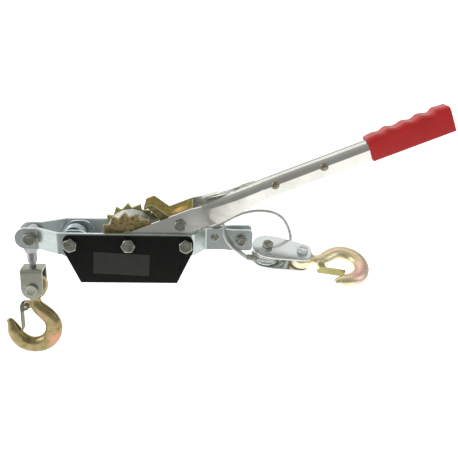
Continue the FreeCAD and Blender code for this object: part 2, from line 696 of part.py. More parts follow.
def handle_bar():
    """One-piece forked lever: two arms that curl into an upside-down channel."""
    solid = bar_fill(S.fork_end, S.bar_end).cut(bar_fill(S.fork_end, S.bar_end, S.handle_sheet))
    stations = [(0.0, 30.0, -S.hub_radius), (0.15, 38.0, -1.23 * S.hub_radius),
                (0.55, 64.0, -1.11 * S.hub_radius), (1.0, 95.0, S.bar_bottom)]
    for side in (-1, 1):
        sections = []
        for share, sweep, bottom in stations:
            x = S.arm_crease + share * (S.fork_end - S.arm_crease)
            outer = ARM_WIDTH / 2.0 + share * (S.bar_width - ARM_WIDTH) / 2.0
            sections.append(arm_section(x, outer, sweep, bottom, share * S.bar_lean, side))
        solid = solid.fuse(Part.makeLoft(sections, True, True))
        solid = solid.fuse(arm_plate(side))
    for reach in (S.rivet_first, S.rivet_second):
        solid = solid.cut(across_bar(reach, S.rivet_radius + S.seat, S.bar_width))
    keep(made("handle_bar", solid.removeSplitter(), HANDLE_TURN), "handle_bar")


def across_bar(reach, radius, width):
    """Cylinder across the bar at a distance from the drum bolt."""
    return Part.makeCylinder(radius, width, Vector(reach, -width / 2.0, 0.2), Y)


def bar_rivets():
    """Two rivets across the bar, each over an inner spacer tube."""
    filled = bar_fill(S.fork_end, S.bar_end)
    inside = bar_fill(S.fork_end, S.bar_end, S.handle_sheet + S.seat)
    rivets, spacers = [], []
    for reach in (S.rivet_first, S.rivet_second):
        heads = across_bar(reach, S.rivet_head, S.bar_width + 5.0)
        heads = heads.makeFillet(1.8, [edge for edge in heads.Edges if edge.Closed]).cut(filled)
        rivets.append(heads.fuse(across_bar(reach, S.rivet_radius, S.bar_width + 1.0)))
        sleeve = across_bar(reach, S.rivet_radius + 1.6, S.bar_width).common(inside)
        spacers.append(sleeve.cut(across_bar(reach, S.rivet_radius + S.seat, S.bar_width)))
    keep(made("bar_rivets", Part.makeCompound(rivets), HANDLE_TURN), "bar_rivets")
    keep(made("bar_spacers", Part.makeCompound(spacers), HANDLE_TURN), "bar_spacers")


def grip_section(x, top, inset=0.0):
    """Rounded rectangle round the bar at x, up to a height."""
    half, low = S.bar_width / 2.0 + S.grip_wall - inset, S.bar_bottom - S.grip_wall + inset
    top -= inset
    points = [(-half, low, 2.5), (half, low, 2.5), (half, top, 6.5), (-half, top, 6.5)]
    wire = Part.Wire([edge.toShape() for edge in rounded_edges(points)])
    wire.Placement = Placement(Vector(x, 0, 0), Rotation(Y, Z, X, "XYZ"))
    return wire


def eased(keys, steps):
    """Stations between (share, height) keys, flat at each key."""
    stations = []
    for (share, height), (next_share, next_height) in zip(keys, keys[1:]):
        for i in range(steps):
            part = i / steps
            ease = 0.5 - 0.5 * math.cos(math.pi * part)
            stations.append((share + part * (next_share - share), height + ease * (next_height - height)))
    return stations + [keys[-1]]


def hand_grip():
    """Moulded grip sleeve, open towards the drum, with five finger bumps on top."""
    end = S.bar_end + S.grip_wall
    length = end - S.grip_start
    heights = [(0.0, 0.2), (0.10, 1.1), (0.185, 0.2), (0.267, 2.9), (0.372, 0.2), (0.482, 2.3),
               (0.575, 0.2), (0.668, 3.2), (0.79, 0.6), (0.911, 5.4), (1.0, 4.2)]
    sections = [grip_section(S.grip_start + share * length, S.grip_top + rise)
                for share, rise in eased(heights, 4)]
    last = S.grip_top + heights[-1][1]
    cap = Part.makeLoft([grip_section(end, last), grip_section(end + 1.6, last, 1.6)], True, True)
    solid = Part.makeLoft(sections, True, False).fuse(cap)
    cavity = bar_fill(S.grip_start, S.bar_end, -S.seat)
    keep(made("hand_grip", solid.cut(cavity), HANDLE_TURN), "hand_grip")


def pawl_bolt_place(distance):
    """Place on the driving pawl's bolt axis, at a distance along Y, in the real frame."""
    return HANDLE_TURN.multVec(Vector(S.pawl_bolt_reach, distance, -S.pawl_bolt_drop))


def handle_bolt():
    """Bolt that carries the driving pawl between the arms."""
    half = ARM_WIDTH / 2.0
    length = "%s + 9" % ACROSS_ARMS
    keep(bolt("drive_pawl_bolt", cell("pawl_bolt_flats"), "5.5", cell("pawl_bolt_radius"), length,
              pawl_bolt_place(-half), Y), "drive_pawl_bolt")
    keep(hex_nut("drive_pawl_nut", cell("pawl_bolt_flats"), "6",
                 "%s + %s" % (cell("pawl_bolt_radius"), cell("seat")), pawl_bolt_place(half), Y),
         "drive_pawl_nut")


# Pawls, in the plane of the wheels, seen from the front

def drive_nose():
    """Nose of the driving pawl when it is home in the teeth, about the drum bolt."""
    step = 360.0 / S.tooth_count
    tip = S.first_tip_angle
    root = tip - S.tooth_face
    ramp = root - 0.42 * (step - S.tooth_face)
    return [polar(S.tip_radius + 3.0, tip - 1.6), polar(S.root_radius + 2.2, root - 1.2),
            polar(S.root_radius + 5.6, ramp)]


def drive_pawl():
    """Folded driving pawl: two cheeks with noses, joined by a ridged top plate."""
    axis = HANDLE_TURN.multVec(Vector(S.pawl_bolt_reach, 0, -S.pawl_bolt_drop))
    centre = (axis.x, axis.z)
    nose = [turned((x, z + ZD), centre, -S.drive_pawl_lift) for x, z in drive_nose()]
    tip = nose[1]
    ridge = (centre[0] - 35.6, centre[1] + 25.4)
    valley = (centre[0] - 14.6, centre[1] + 10.4)
    tail = (centre[0] + 15.5, centre[1] + 22.6)
    top_line = [tip, ridge, valley, tail]
    thick = S.pawl_sheet
    under = offset_line(top_line, -thick)
    top = rounded_edges([(*tip, 0.5), (*ridge, 5.0), (*valley, 3.0), (*tail, 0.6),
                         (*under[3], 0.6), (*under[2], 6.0), (*under[1], 2.0), (*under[0], 0.5)])
    web = plate("drive_pawl_web", top, "%s + %s" % (ACROSS_WHEELS, cell("pawl_sheet")))
    boss = 8.5
    cheek_edges = rounded_edges([(*nose[1], 0.4), (*ridge, 5.0), (*valley, 3.0),
                                 (centre[0] + boss, centre[1] + boss, boss - 0.1),
                                 (centre[0] + boss, centre[1] - boss, boss - 0.1),
                                 (centre[0] - boss - 4.0, centre[1] - boss + 1.0, 3.0), (*nose[2], 0.4)])
    hole = circle(*centre, S.pawl_bolt_radius + S.fit / 2.0)
    cheeks = []
    for number, side in enumerate((-1, 1)):
        middle = Vector(0, side * WHEEL_PITCH / 2.0, 0)
        cheeks.append(plate("drive_pawl_cheek%d" % number, cheek_edges + [hole], cell("pawl_sheet"), centre=middle))
    keep(fuse("drive_pawl", web, *cheeks), "drive_pawl")


def hold_nose():
    """Nose of the holding pawl when it is home in the teeth, about the drum bolt."""
    step = 360.0 / S.tooth_count
    tip = S.first_tip_angle + 6 * step
    root = tip - S.tooth_face
    ramp = root - 0.55 * (step - S.tooth_face)
    return [polar(S.tip_radius + 1.0, tip - 1.2), polar(S.root_radius + 1.0, root - 1.0),
            polar(S.root_radius + 5.6, ramp)]


def holding_pawl():
    """Holding pawl: two round-backed cheeks joined by a web below."""
    centre = PAWL_AXIS
    nose = [turned((x, z + ZD), centre, -S.hold_pawl_lift) for x, z in hold_nose()]
    back, crown = S.hold_pawl_back, S.hold_pawl_crown
    left, right = centre[0] - S.hold_pawl_left, centre[0] + S.hold_pawl_right
    outline = rounded_edges([(left, centre[1] - back, 0.72 * back),
                             (centre[0] - 2.0, centre[1] - back - 0.5, 6.0), (*nose[0], 0.5),
                             (*nose[1], 0.4), (*nose[2], 0.6), (right, centre[1] - 6.0, 4.0),
                             (right - 0.5, centre[1] + crown, 1.1 * crown),
                             (left, centre[1] + crown, 1.35 * crown)])
    hole = circle(*centre, S.bush_radius + S.fit / 2.0)
    cheeks = []
    for number, side in enumerate((-1, 1)):
        middle = Vector(0, side * WHEEL_PITCH / 2.0, 0)
        cheeks.append(plate("holding_pawl_cheek%d" % number, outline + [hole], cell("pawl_sheet"), centre=middle))
    low = (centre[0] + 4.0, centre[1] - back + 0.5)
    line = [(centre[0] - 8.0, centre[1] - back + 3.4), low, (centre[0] + 20.0, centre[1] - back - 3.0)]
    inner = offset_line(line, S.pawl_sheet)
    web = plate("holding_pawl_web", bent_strip(line, inner, 3.0, S.pawl_sheet), ACROSS_WHEELS)
    keep(fuse("holding_pawl", web, *cheeks), "holding_pawl")


def pawl_spring():
    """Coiled spring round the holding pawl's bush."""
    pitch = 3.0 * S.spring_wire
    turns = 5.25
    path = coil_path(Vector(PAWL_AXIS[0], -pitch * turns / 2.0, ZD), S.spring_radius, pitch, turns, 200.0,
                     6.0 * S.spring_wire)
    print_coil_gap(path, S.spring_wire, "pawl_spring")
    keep(made("pawl_spring", tube(path, S.spring_wire, "pawl_spring")), "pawl_spring")
    base = Vector(PAWL_AXIS[0], -pitch * turns / 2.0 - 2.0, ZD)
    length = "%g" % (pitch * turns + 4.0)
    outer = cylinder("spring_sleeve_outer", "%s - %s - 0.3" % (cell("spring_radius"), cell("spring_wire")),
                     length, base, Y)
    bore = cylinder("spring_sleeve_bore", "%s + %s" % (cell("bush_radius"), cell("seat")), length, base, Y)
    keep(cut("spring_sleeve", outer, bore), "spring_sleeve")


# Anchor side

def knuckle():
    """Barrel between the lobes with a tapered neck, collar and swivel stem below."""
    inside = S.lobe_width / 2.0 - S.strap_thickness - S.fit
    barrel = Part.makeCylinder(S.knuckle_radius, 2 * inside, Vector(0, -inside, 0), Y)
    neck_low = -S.neck_drop
    neck = Part.makeLoft([oblong(9.9, inside - 0.5, -6.0), oblong(9.7, inside - 0.5, -14.0),
                          oblong(7.3, 7.3, neck_low)], True, True)
    collar = Part.makeCylinder(S.collar_radius, S.collar_length, Vector(0, 0, neck_low - S.collar_length))
    collar = collar.makeFillet(1.2, [edge for edge in collar.Edges if edge.Closed])
    stem_low = S.clevis_top - S.clevis_sheet - ZD - S.fit
    stem = Part.makeCylinder(S.stem_radius, neck_low - stem_low, Vector(0, 0, stem_low))
    rivet = Part.makeCylinder(S.stem_head_radius, S.stem_head_height, Vector(0, 0, stem_low - S.stem_head_height))
    lower_rim = [edge for edge in rivet.Edges if edge.Closed and edge.BoundBox.ZMax < stem_low - 1.0]
    rivet = rivet.makeFillet(1.4, lower_rim)
    hanging = neck.fuse([collar, stem, rivet])
    hanging.translate(X * (S.lobe_reach - S.swivel_reach))
    bore = Part.makeCylinder(S.bolt_radius + S.fit / 2.0, 4 * inside, Vector(0, -2 * inside, 0), Y)
    keep(made("knuckle", barrel.fuse(hanging).cut(bore), Placement(LOBE, Rotation())), "knuckle")


def oblong(half_x, half_y, z):
    """Rounded rectangle wire at a height."""
    corner = min(half_x, half_y) * 0.45
    points = [(-half_x, -half_y, corner), (half_x, -half_y, corner), (half_x, half_y, corner),
              (-half_x, half_y, corner)]
    wire = Part.Wire([edge.toShape() for edge in rounded_edges(points)])
    wire.translate(Vector(0, 0, z))
    return wire


HOOK_AXIS = Vector(-S.swivel_reach, 0, S.clevis_top - S.clevis_drop)


def anchor_clevis():
    """U of sheet, open below, that turns on the knuckle's stem."""
    half, span = S.clevis_width / 2.0, S.clevis_span / 2.0
    top, low = S.clevis_top, HOOK_AXIS.z
    line = [(-span, low - half), (-span, top), (span, top), (span, low - half)]
    inner = offset_line(line, -S.clevis_sheet)
    edges = bent_strip(line, inner, 1.2, S.clevis_sheet)
    body = plate("anchor_clevis", edges, cell("clevis_width"), "YZ_Plane", Vector(-S.swivel_reach, 0, 0))
    far = 3.0 * S.clevis_width
    frame = rounded_edges([(-far, -far), (far, -far), (far, far), (-far, far)])
    trim = rounded_edges([(-half, low - half, half - 0.01), (half, low - half, half - 0.01),
                          (half, top), (-half, top)])
    pierce(body, frame + trim)
    pierce(body, [circle(0, low, S.hook_bolt_radius + S.seat)])
    pierce(body, [circle(0, 0, S.stem_radius + S.fit / 2.0)], "XY_Plane")
    keep(body, "anchor_clevis")


def clevis_pin():
    """Round-headed bolt and nut that carry the anchor hook."""
    half = S.clevis_span / 2.0
    shank = cylinder("clevis_bolt_shank", cell("hook_bolt_radius"), "%s + 9" % cell("clevis_span"),
                     HOOK_AXIS - Y * half, Y)
    head = round_head("clevis_bolt_head", "8.2", 4.6, HOOK_AXIS - Y * half, -Y)
    keep(fuse("clevis_bolt", shank, head), "clevis_bolt")
    keep(hex_nut("clevis_nut", "15", "7", "%s + %s" % (cell("hook_bolt_radius"), cell("seat")),
                 HOOK_AXIS + Y * half, Y), "clevis_nut")


# Hooks, in their own frame: eye at the origin, hanging along -Z, back towards +X

LATCH_PIVOT = Vector(-S.latch_out, 0, -S.latch_drop)


def hook_stations():
    """Places, directions and half widths of the sections from the eye to the tip."""
    middle = Vector(S.hook_bowl_shift, 0, -S.hook_bowl_drop)
    neck = [(Vector(0.0, 0, -14.0), -90.0, 8.4), (Vector(0.2, 0, -25.0), -82.0, 8.2),
            (Vector(5.2, 0, -34.0), -50.0, 9.6)]
    bowl = []
    widths = [10.4, 11.1, 11.5, 11.5, 11.3, 11.2, 11.0, 9.6]
    for number, width in enumerate(widths):
        angle = 48.0 - number * 30.5
        dx, dz = polar(S.hook_bowl_radius, angle)
        bowl.append((middle + Vector(dx, 0, dz), angle - 90.0, width))
    tip = [(Vector(-35.2, 0, -56.5), 122.0, 6.0), (Vector(-39.8, 0, -50.6), 128.0, 2.4)]
    return neck + bowl + tip


def hook_section(place, heading, width):
    """Elliptical section, square to its heading, flatter than it is wide."""
    depth = min(width * 0.82, 7.9)
    dx, dz = polar(1.0, heading + 90.0)
    across = Vector(dx, 0, dz)
    if width >= depth:
        ellipse = Part.Ellipse(place + across * width, place + Y * depth, place)
    else:
        ellipse = Part.Ellipse(place + Y * depth, place + across * width, place)
    return Part.Wire(ellipse.toShape())


def hook_shape(share):
    """Forged hook with a flat eye and a boss for its latch; share is its size over the anchor hook's."""
    body = Part.makeLoft([hook_section(*station) for station in hook_stations()], True, False)
    half = S.hook_eye_thickness / 2.0
    eye = Part.makeCylinder(S.hook_eye_radius, 2 * half, Vector(0, -half, 0), Y)
    eye = eye.makeFillet(4.0, [edge for edge in eye.Edges if edge.Closed])
    boss_half = S.latch_width / 2.0 - S.latch_sheet - S.fit
    boss = Part.makeCylinder(S.latch_boss_radius, 2 * boss_half, LATCH_PIVOT - Y * boss_half, Y)
    arm = Part.makeBox(12.0, 2 * boss_half, 7.0, Vector(LATCH_PIVOT.x, -boss_half, LATCH_PIVOT.z - 3.5))
    solid = body.fuse([eye, boss, arm])
    solid.scale(share)
    reach = S.hook_eye_thickness
    bore = Part.makeCylinder(S.hook_bolt_radius + S.fit / 2.0, 2 * reach, Y * -reach, Y)
    pin = Part.makeCylinder(S.latch_pin_radius + S.seat, 2 * reach, LATCH_PIVOT * share - Y * reach, Y)
    return solid.cut(bore).cut(pin)


def latch_shape(share):
    """Sheet latch: two ears on the hook's boss and a blade down to the tip."""
    half = S.latch_width / 2.0
    x, z = LATCH_PIVOT.x, LATCH_PIVOT.z
    back = x - S.latch_back
    ear = [(back, z - 8.0, 1.0), (back, z + 3.0, 4.0), (x + 4.4, z + 4.4, 4.3), (x + 4.4, z - 4.4, 4.3)]
    face = Part.Face([Part.Wire([edge.toShape() for edge in rounded_edges(ear)])])
    solids = []
    for y in (-half, half - S.latch_sheet):
        solid = face.extrude(Z * S.latch_sheet)
        solid.Placement = Placement(Vector(0, y + S.latch_sheet, 0), Rotation(X, 90))
        solids.append(solid)
    blade = Part.makeBox(S.latch_sheet, 2 * half, S.latch_length + 2.0, Vector(back, -half, z - S.latch_length))
    solid = solids[0].fuse([solids[1], blade])
    solid.scale(share)
    pin = Part.makeCylinder(S.latch_pin_radius + S.fit / 2.0, 4 * half, LATCH_PIVOT * share - Y * (2 * half), Y)
    return solid.cut(pin)


def hook_set(prefix, placement, share=1.0):
    """A hook with its sprung latch, at a placement."""
    half = S.latch_width * share / 2.0
    keep(made(prefix + "_hook", hook_shape(share), placement), prefix + "_hook")
    keep(made(prefix + "_latch", latch_shape(share), placement), prefix + "_latch")
    pin = Part.makeCylinder(S.latch_pin_radius, 2 * half + 1.6, LATCH_PIVOT * share - Y * (half + 0.8), Y)
    keep(made(prefix + "_latch_pin", pin, placement), prefix + "_latch_pin")


# Pulley block, in its own frame: x towards the hook, z square to the cheeks

BLOCK_CENTRE = Vector(S.block_reach, S.block_offset, S.block_height)


def block_axes():
    """Directions of the block: towards its hook, across, and square to its cheeks."""
    heading, dip, roll = (math.radians(angle) for angle in (S.block_heading, S.block_dip, S.block_roll))
    along = Vector(math.cos(heading) * math.cos(dip), math.sin(heading) * math.cos(dip), math.sin(dip))
    level = (Z - along * Z.dot(along)).normalize()
    square = level * math.cos(roll) + level.cross(along) * math.sin(roll)
    return along, square.cross(along), square


ALONG, ACROSS, SQUARE = block_axes()
BLOCK = Placement(BLOCK_CENTRE, Rotation(ALONG, ACROSS, SQUARE, "XYZ"))


def cheek_plate(side, label):
    """Teardrop cheek: round at the sheave, square-shouldered at the hook bolt."""
    r = S.cheek_radius
    end = S.block_pitch + 13.0
    edges = rounded_edges([(-r, -r, r - 0.05), (-r, r, r - 0.05), (12.0, r, 12.0), (end - 4.0, 14.0, 7.0),
                           (end, 2.0, 8.0), (end - 4.0, -14.0, 9.0), (12.0, -r, 12.0)])
    holes = [circle(0, 0, S.bolt_radius + S.seat), circle(S.block_pitch, 0, S.hook_bolt_radius + S.seat)]
    offset = side * (S.cheek_gap + S.cheek_sheet) / 2.0
    centre = BLOCK.multVec(Vector(0, 0, offset))
    keep(plate(label, edges + holes, cell("cheek_sheet"), "XY_Plane", centre, BLOCK.Rotation), label)


def block_bolt(label, x, radius, flats):
    """Bolt across the cheeks, its head on the upper one, and its nut."""
    top = S.cheek_gap / 2.0 + S.cheek_sheet
    length = "%s + 2 * %s + 9" % (cell("cheek_gap"), cell("cheek_sheet"))
    down = BLOCK.Rotation.multVec(-Z)
    keep(bolt(label, flats, "5", cell(radius), length, BLOCK.multVec(Vector(x, 0, top)), down), label)
    return hex_nut(label + "_nut", flats, "7", "%s + %s" % (cell(radius), cell("seat")),
                   BLOCK.multVec(Vector(x, 0, -top)), down)


def sheave():
    """Grooved wheel on a hub that fills the gap between the cheeks."""
    half, hub = S.sheave_thickness / 2.0, (S.cheek_gap / 2.0 - S.fit)
    rim, root = S.sheave_radius, S.groove_radius - S.rope_radius
    bore = S.bolt_radius + S.fit / 2.0
    profile = rounded_edges([(bore, -hub), (9.0, -hub), (9.0, -half), (rim, -half), (rim, -half + 1.6, 0.8),
                             (root, -S.rope_radius * 0.9, 1.8), (root, S.rope_radius * 0.9, 1.8),
                             (rim, half - 1.6, 0.8), (rim, half), (9.0, half), (9.0, hub), (bore, hub)])
    wire = Part.Wire([edge.toShape() for edge in profile])
    wire.rotate(Vector(), X, 90)
    solid = Part.Face([wire]).revolve(Vector(), Z, 360)
    keep(made("sheave", solid, BLOCK), "sheave")


def pulley_block():
    """Cheeks, bolts, sheave and the pull hook."""
    cheek_plate(1, "upper_cheek")
    cheek_plate(-1, "lower_cheek")
    nuts = [block_bolt("sheave_bolt", 0.0, "bolt_radius", "13"),
            block_bolt("pull_hook_bolt", S.block_pitch, "hook_bolt_radius", "13")]
    keep(group("block_nuts", *nuts), "block_nuts")
    sheave()
    hook_turn = Rotation(SQUARE, S.pull_hook_swing) * Rotation(ACROSS, SQUARE * -1.0, ALONG * -1.0, "XYZ")
    place = Placement(BLOCK.multVec(Vector(S.block_pitch, 0, 0)), hook_turn)
    hook_set("pull", place, S.pull_hook_share)


# Rope outside the drum. The points are in the real frame.

RUN_POINTS = [(30.0, -13.5, 77.1), (65.0, -5.6, 68.9), (98.0, -0.6, 62.4), (116.0, 0.4, 69.2), (131.0, 1.0, 79.0),
              (149.0, 1.3, 87.0), (170.0, 1.8, 89.8), (190.0, 2.8, 86.0), (205.0, 4.4, 73.2)]
EYE_POINTS = [(148.0, -16.2, 31.6), (142.6, -13.7, 35.6), (136.2, -13.7, 39.9), (129.7, -13.7, 45.6),
              (124.2, -13.6, 53.0), (120.6, -12.6, 62.0), (119.8, -11.6, 70.6), (121.2, -2.0, 70.8),
              (124.4, -1.7, 60.0), (131.6, -1.7, 49.0), (139.6, -2.6, 39.2), (146.0, -8.6, 32.4)]
WRAP_START, WRAP_END = -92.0, -33.2
SLEEVE_LEAD = 10.6


def block_point(x, y, z=0.0):
    """Point of the block's frame in the real frame."""
    return BLOCK.multVec(Vector(x, y, z))


def wrap_point(angle, beyond):
    """Point on the sheave's rope circle, or beyond it along the tangent."""
    turn = math.radians(angle)
    radius = S.groove_radius
    return block_point(radius * math.cos(turn) - math.sin(turn) * beyond,
                       radius * math.sin(turn) + math.cos(turn) * beyond)


def rope_run():
    """Rope from the drum through the throat and over to the sheave."""
    start = Vector(S.winding_radius * math.cos(math.radians(ROPE_LEAVES)),
                   -WINDING_SPAN / 2.0,
                   ZD + S.winding_radius * math.sin(math.radians(ROPE_LEAVES)))
    points = [Vector(*point) for point in RUN_POINTS]
    start += (points[0] - start).normalize() * (3.0 * S.rope_radius)
    points = [start] + points + [wrap_point(WRAP_END, 36.0), wrap_point(WRAP_END, S.fit)]
    keep(made("rope_run", tube(cord_path(points, "rope_run"), S.rope_radius, "rope_run")), "rope_run")


def rope_tail():
    """Rope round the sheave, back to its pressed sleeve, and the eye round the front strap."""
    turns = [wrap_point(WRAP_START + share * (WRAP_END - WRAP_START), 0.0) for share in (0.0, 0.5, 1.0)]
    wrap = Part.Wire([Part.Arc(*turns).toShape()])
    keep(made("rope_wrap", tube(wrap, S.rope_radius, "rope_wrap")), "rope_wrap")
    leave, seat = wrap_point(WRAP_START, -S.fit), wrap_point(WRAP_START, -SLEEVE_LEAD)
    back = Part.Wire([Part.LineSegment(leave, seat).toShape()])
    keep(made("rope_return", tube(back, S.rope_radius, "rope_return")), "rope_return")
    way = (seat - leave).normalize()
    sleeve = Part.makeCylinder(S.ferrule_radius, S.ferrule_length, seat, way)
    sleeve = sleeve.makeFillet(1.0, [edge for edge in sleeve.Edges if edge.Closed])
    keep(made("rope_sleeve", sleeve), "rope_sleeve")
    mouth = seat + way * S.ferrule_length
    across = (Y - way * Y.dot(way)).normalize() * (S.rope_radius + 0.2)
    mouth += way * (5.0 * S.fit)
    eye = [mouth - across] + [Vector(*point) for point in EYE_POINTS] + [mouth + across]
    keep(made("rope_eye", tube(cord_path(eye, "rope_eye"), S.rope_radius, "rope_eye")), "rope_eye")


def frame():
    """Everything that doesn't move against the straps."""
    side_strap(-1, "front_side_strap")
    side_strap(1, "rear_side_strap")
    cover_plate(-1, "front_cover_plate")
    cover_plate(1, "rear_cover_plate")
    label_panel()
    frame_bolts()
    bush("drum_bush", 0.0, cell("bush_radius"))
    bush("pawl_bush", -S.bolt_spacing, cell("bush_radius"))
    bush("spacer_tube", S.bolt_spacing, cell("spacer_radius"))
    throat_rivet()
    cross_bolt("cable_bolt", S.end_bolt_reach, "mouth_width", "end_bolt_radius", "end_bolt_flats")
    cross_bolt("knuckle_bolt", -S.lobe_reach, "lobe_width", "bolt_radius", "bolt_flats")


def build():
    """Make every sub-part."""
    frame()
    ratchet_wheel(-1, "front_ratchet_wheel")
    ratchet_wheel(1, "rear_ratchet_wheel")
    drum()
    handle_bar()
    bar_rivets()
    hand_grip()
    handle_bolt()
    drive_pawl()
    holding_pawl()
    pawl_spring()
    knuckle()
    anchor_clevis()
    clevis_pin()
    hook_set("anchor", Placement(HOOK_AXIS, Rotation()))
    pulley_block()
    rope_run()
    rope_tail()
    doc.recompute()


def check():
    """Stop if an object failed or a sub-part isn't a sound solid."""
    for item in doc.Objects:
        if "Invalid" in item.State or "Error" in item.State:
            raise RuntimeError("%s: %s" % (item.Label, item.State))
    for item in PARTS:
        shape = item.Shape
        if shape.isNull() or not shape.isValid() or not shape.Solids:
            raise RuntimeError("bad shape: " + item.Label)


def write():
    """Write one STEP file per sub-part."""
    os.makedirs("parts", exist_ok=True)
    for item in PARTS:
        item.Shape.exportStep("parts/%s.step" % item.Label)
    print(len(PARTS), "sub-parts written")


build()
check()
write()
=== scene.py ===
import json
import math

import bmesh
import bpy
from mathutils import Matrix, Vector


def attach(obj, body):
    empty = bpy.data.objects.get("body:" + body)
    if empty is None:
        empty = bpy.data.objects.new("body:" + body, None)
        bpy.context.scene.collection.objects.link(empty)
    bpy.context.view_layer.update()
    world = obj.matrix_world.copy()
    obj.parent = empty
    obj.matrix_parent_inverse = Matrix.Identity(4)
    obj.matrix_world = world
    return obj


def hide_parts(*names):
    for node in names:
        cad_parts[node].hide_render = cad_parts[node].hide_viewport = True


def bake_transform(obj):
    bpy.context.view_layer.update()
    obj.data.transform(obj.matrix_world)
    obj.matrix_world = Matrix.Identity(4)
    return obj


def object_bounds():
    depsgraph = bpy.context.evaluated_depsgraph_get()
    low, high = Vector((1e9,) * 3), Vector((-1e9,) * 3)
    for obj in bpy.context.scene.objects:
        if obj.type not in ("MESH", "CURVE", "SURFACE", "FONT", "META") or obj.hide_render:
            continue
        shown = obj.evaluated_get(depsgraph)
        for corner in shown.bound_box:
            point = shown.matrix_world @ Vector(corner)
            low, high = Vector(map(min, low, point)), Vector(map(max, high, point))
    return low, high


# Looks of the come along winch: finishes, wire rope, fasteners, grip, forged pieces, camera, stage and light.
# Lengths are metres where a comment or name says so and in Blender; mm() makes them from millimetres.

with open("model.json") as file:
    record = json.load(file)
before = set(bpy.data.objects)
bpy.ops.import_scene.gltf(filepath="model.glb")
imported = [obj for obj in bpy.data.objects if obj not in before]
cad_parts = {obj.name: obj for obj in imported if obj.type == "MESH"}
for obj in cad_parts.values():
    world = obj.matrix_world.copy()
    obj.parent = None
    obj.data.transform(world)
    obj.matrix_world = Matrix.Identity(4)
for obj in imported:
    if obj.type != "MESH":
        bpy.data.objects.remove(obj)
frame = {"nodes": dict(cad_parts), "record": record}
NODES = frame["nodes"]
CAD_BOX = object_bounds()
Y, Z = Vector((0, 1, 0)), Vector((0, 0, 1))
MM = 0.001

# Sizes that the looks share with the solids, in millimetres and degrees
DRUM_RISE = 52.0
HANDLE_ANGLE = 22.3
BOLT_SPACING = 72.5
END_BOLT_REACH = 144.0
LOBE_REACH = 127.3
SWIVEL_REACH = 130.0
HOOK_BOLT_DROP = 20.0
PAWL_BOLT_REACH, PAWL_BOLT_DROP = 69.6, 1.6
BLOCK_PITCH = 46.0
RIVET_REACHES = (199.7, 265.2)
BORE_FIT = 0.15

# Radius of the wire rope, in metres
ROPE_R = 0.002


def mm(*values):
    """Vector from millimetres."""
    return Vector(values) * MM


# Camera at the photograph's place

CAMERA_PLACE = (87.4, -786.9, 344.2)
CAMERA_YAW, CAMERA_PITCH, CAMERA_ROLL = 2.98, 19.59, 1.73


def make_camera():
    """Camera fitted to the photograph: 50 mm lens, looking down 19.6 degrees."""
    yaw, pitch, roll = (math.radians(a) for a in (CAMERA_YAW, CAMERA_PITCH, CAMERA_ROLL))
    forward = Vector((math.sin(yaw) * math.cos(pitch), math.cos(yaw) * math.cos(pitch), -math.sin(pitch)))
    level = Vector((math.cos(yaw), -math.sin(yaw), 0))
    upright = level.cross(forward)
    right = level * math.cos(roll) + upright * math.sin(roll)
    up = upright * math.cos(roll) - level * math.sin(roll)
    data = bpy.data.cameras.new("camera")
    data.lens, data.sensor_width = 50.0, 36.0
    data.clip_start, data.clip_end = 0.05, 50.0
    camera = bpy.data.objects.new("camera", data)
    turn = Matrix((right, up, -forward)).transposed().to_4x4()
    camera.matrix_world = Matrix.Translation(mm(*CAMERA_PLACE)) @ turn
    bpy.context.scene.collection.objects.link(camera)
    bpy.context.scene.camera = camera


# Material graphs

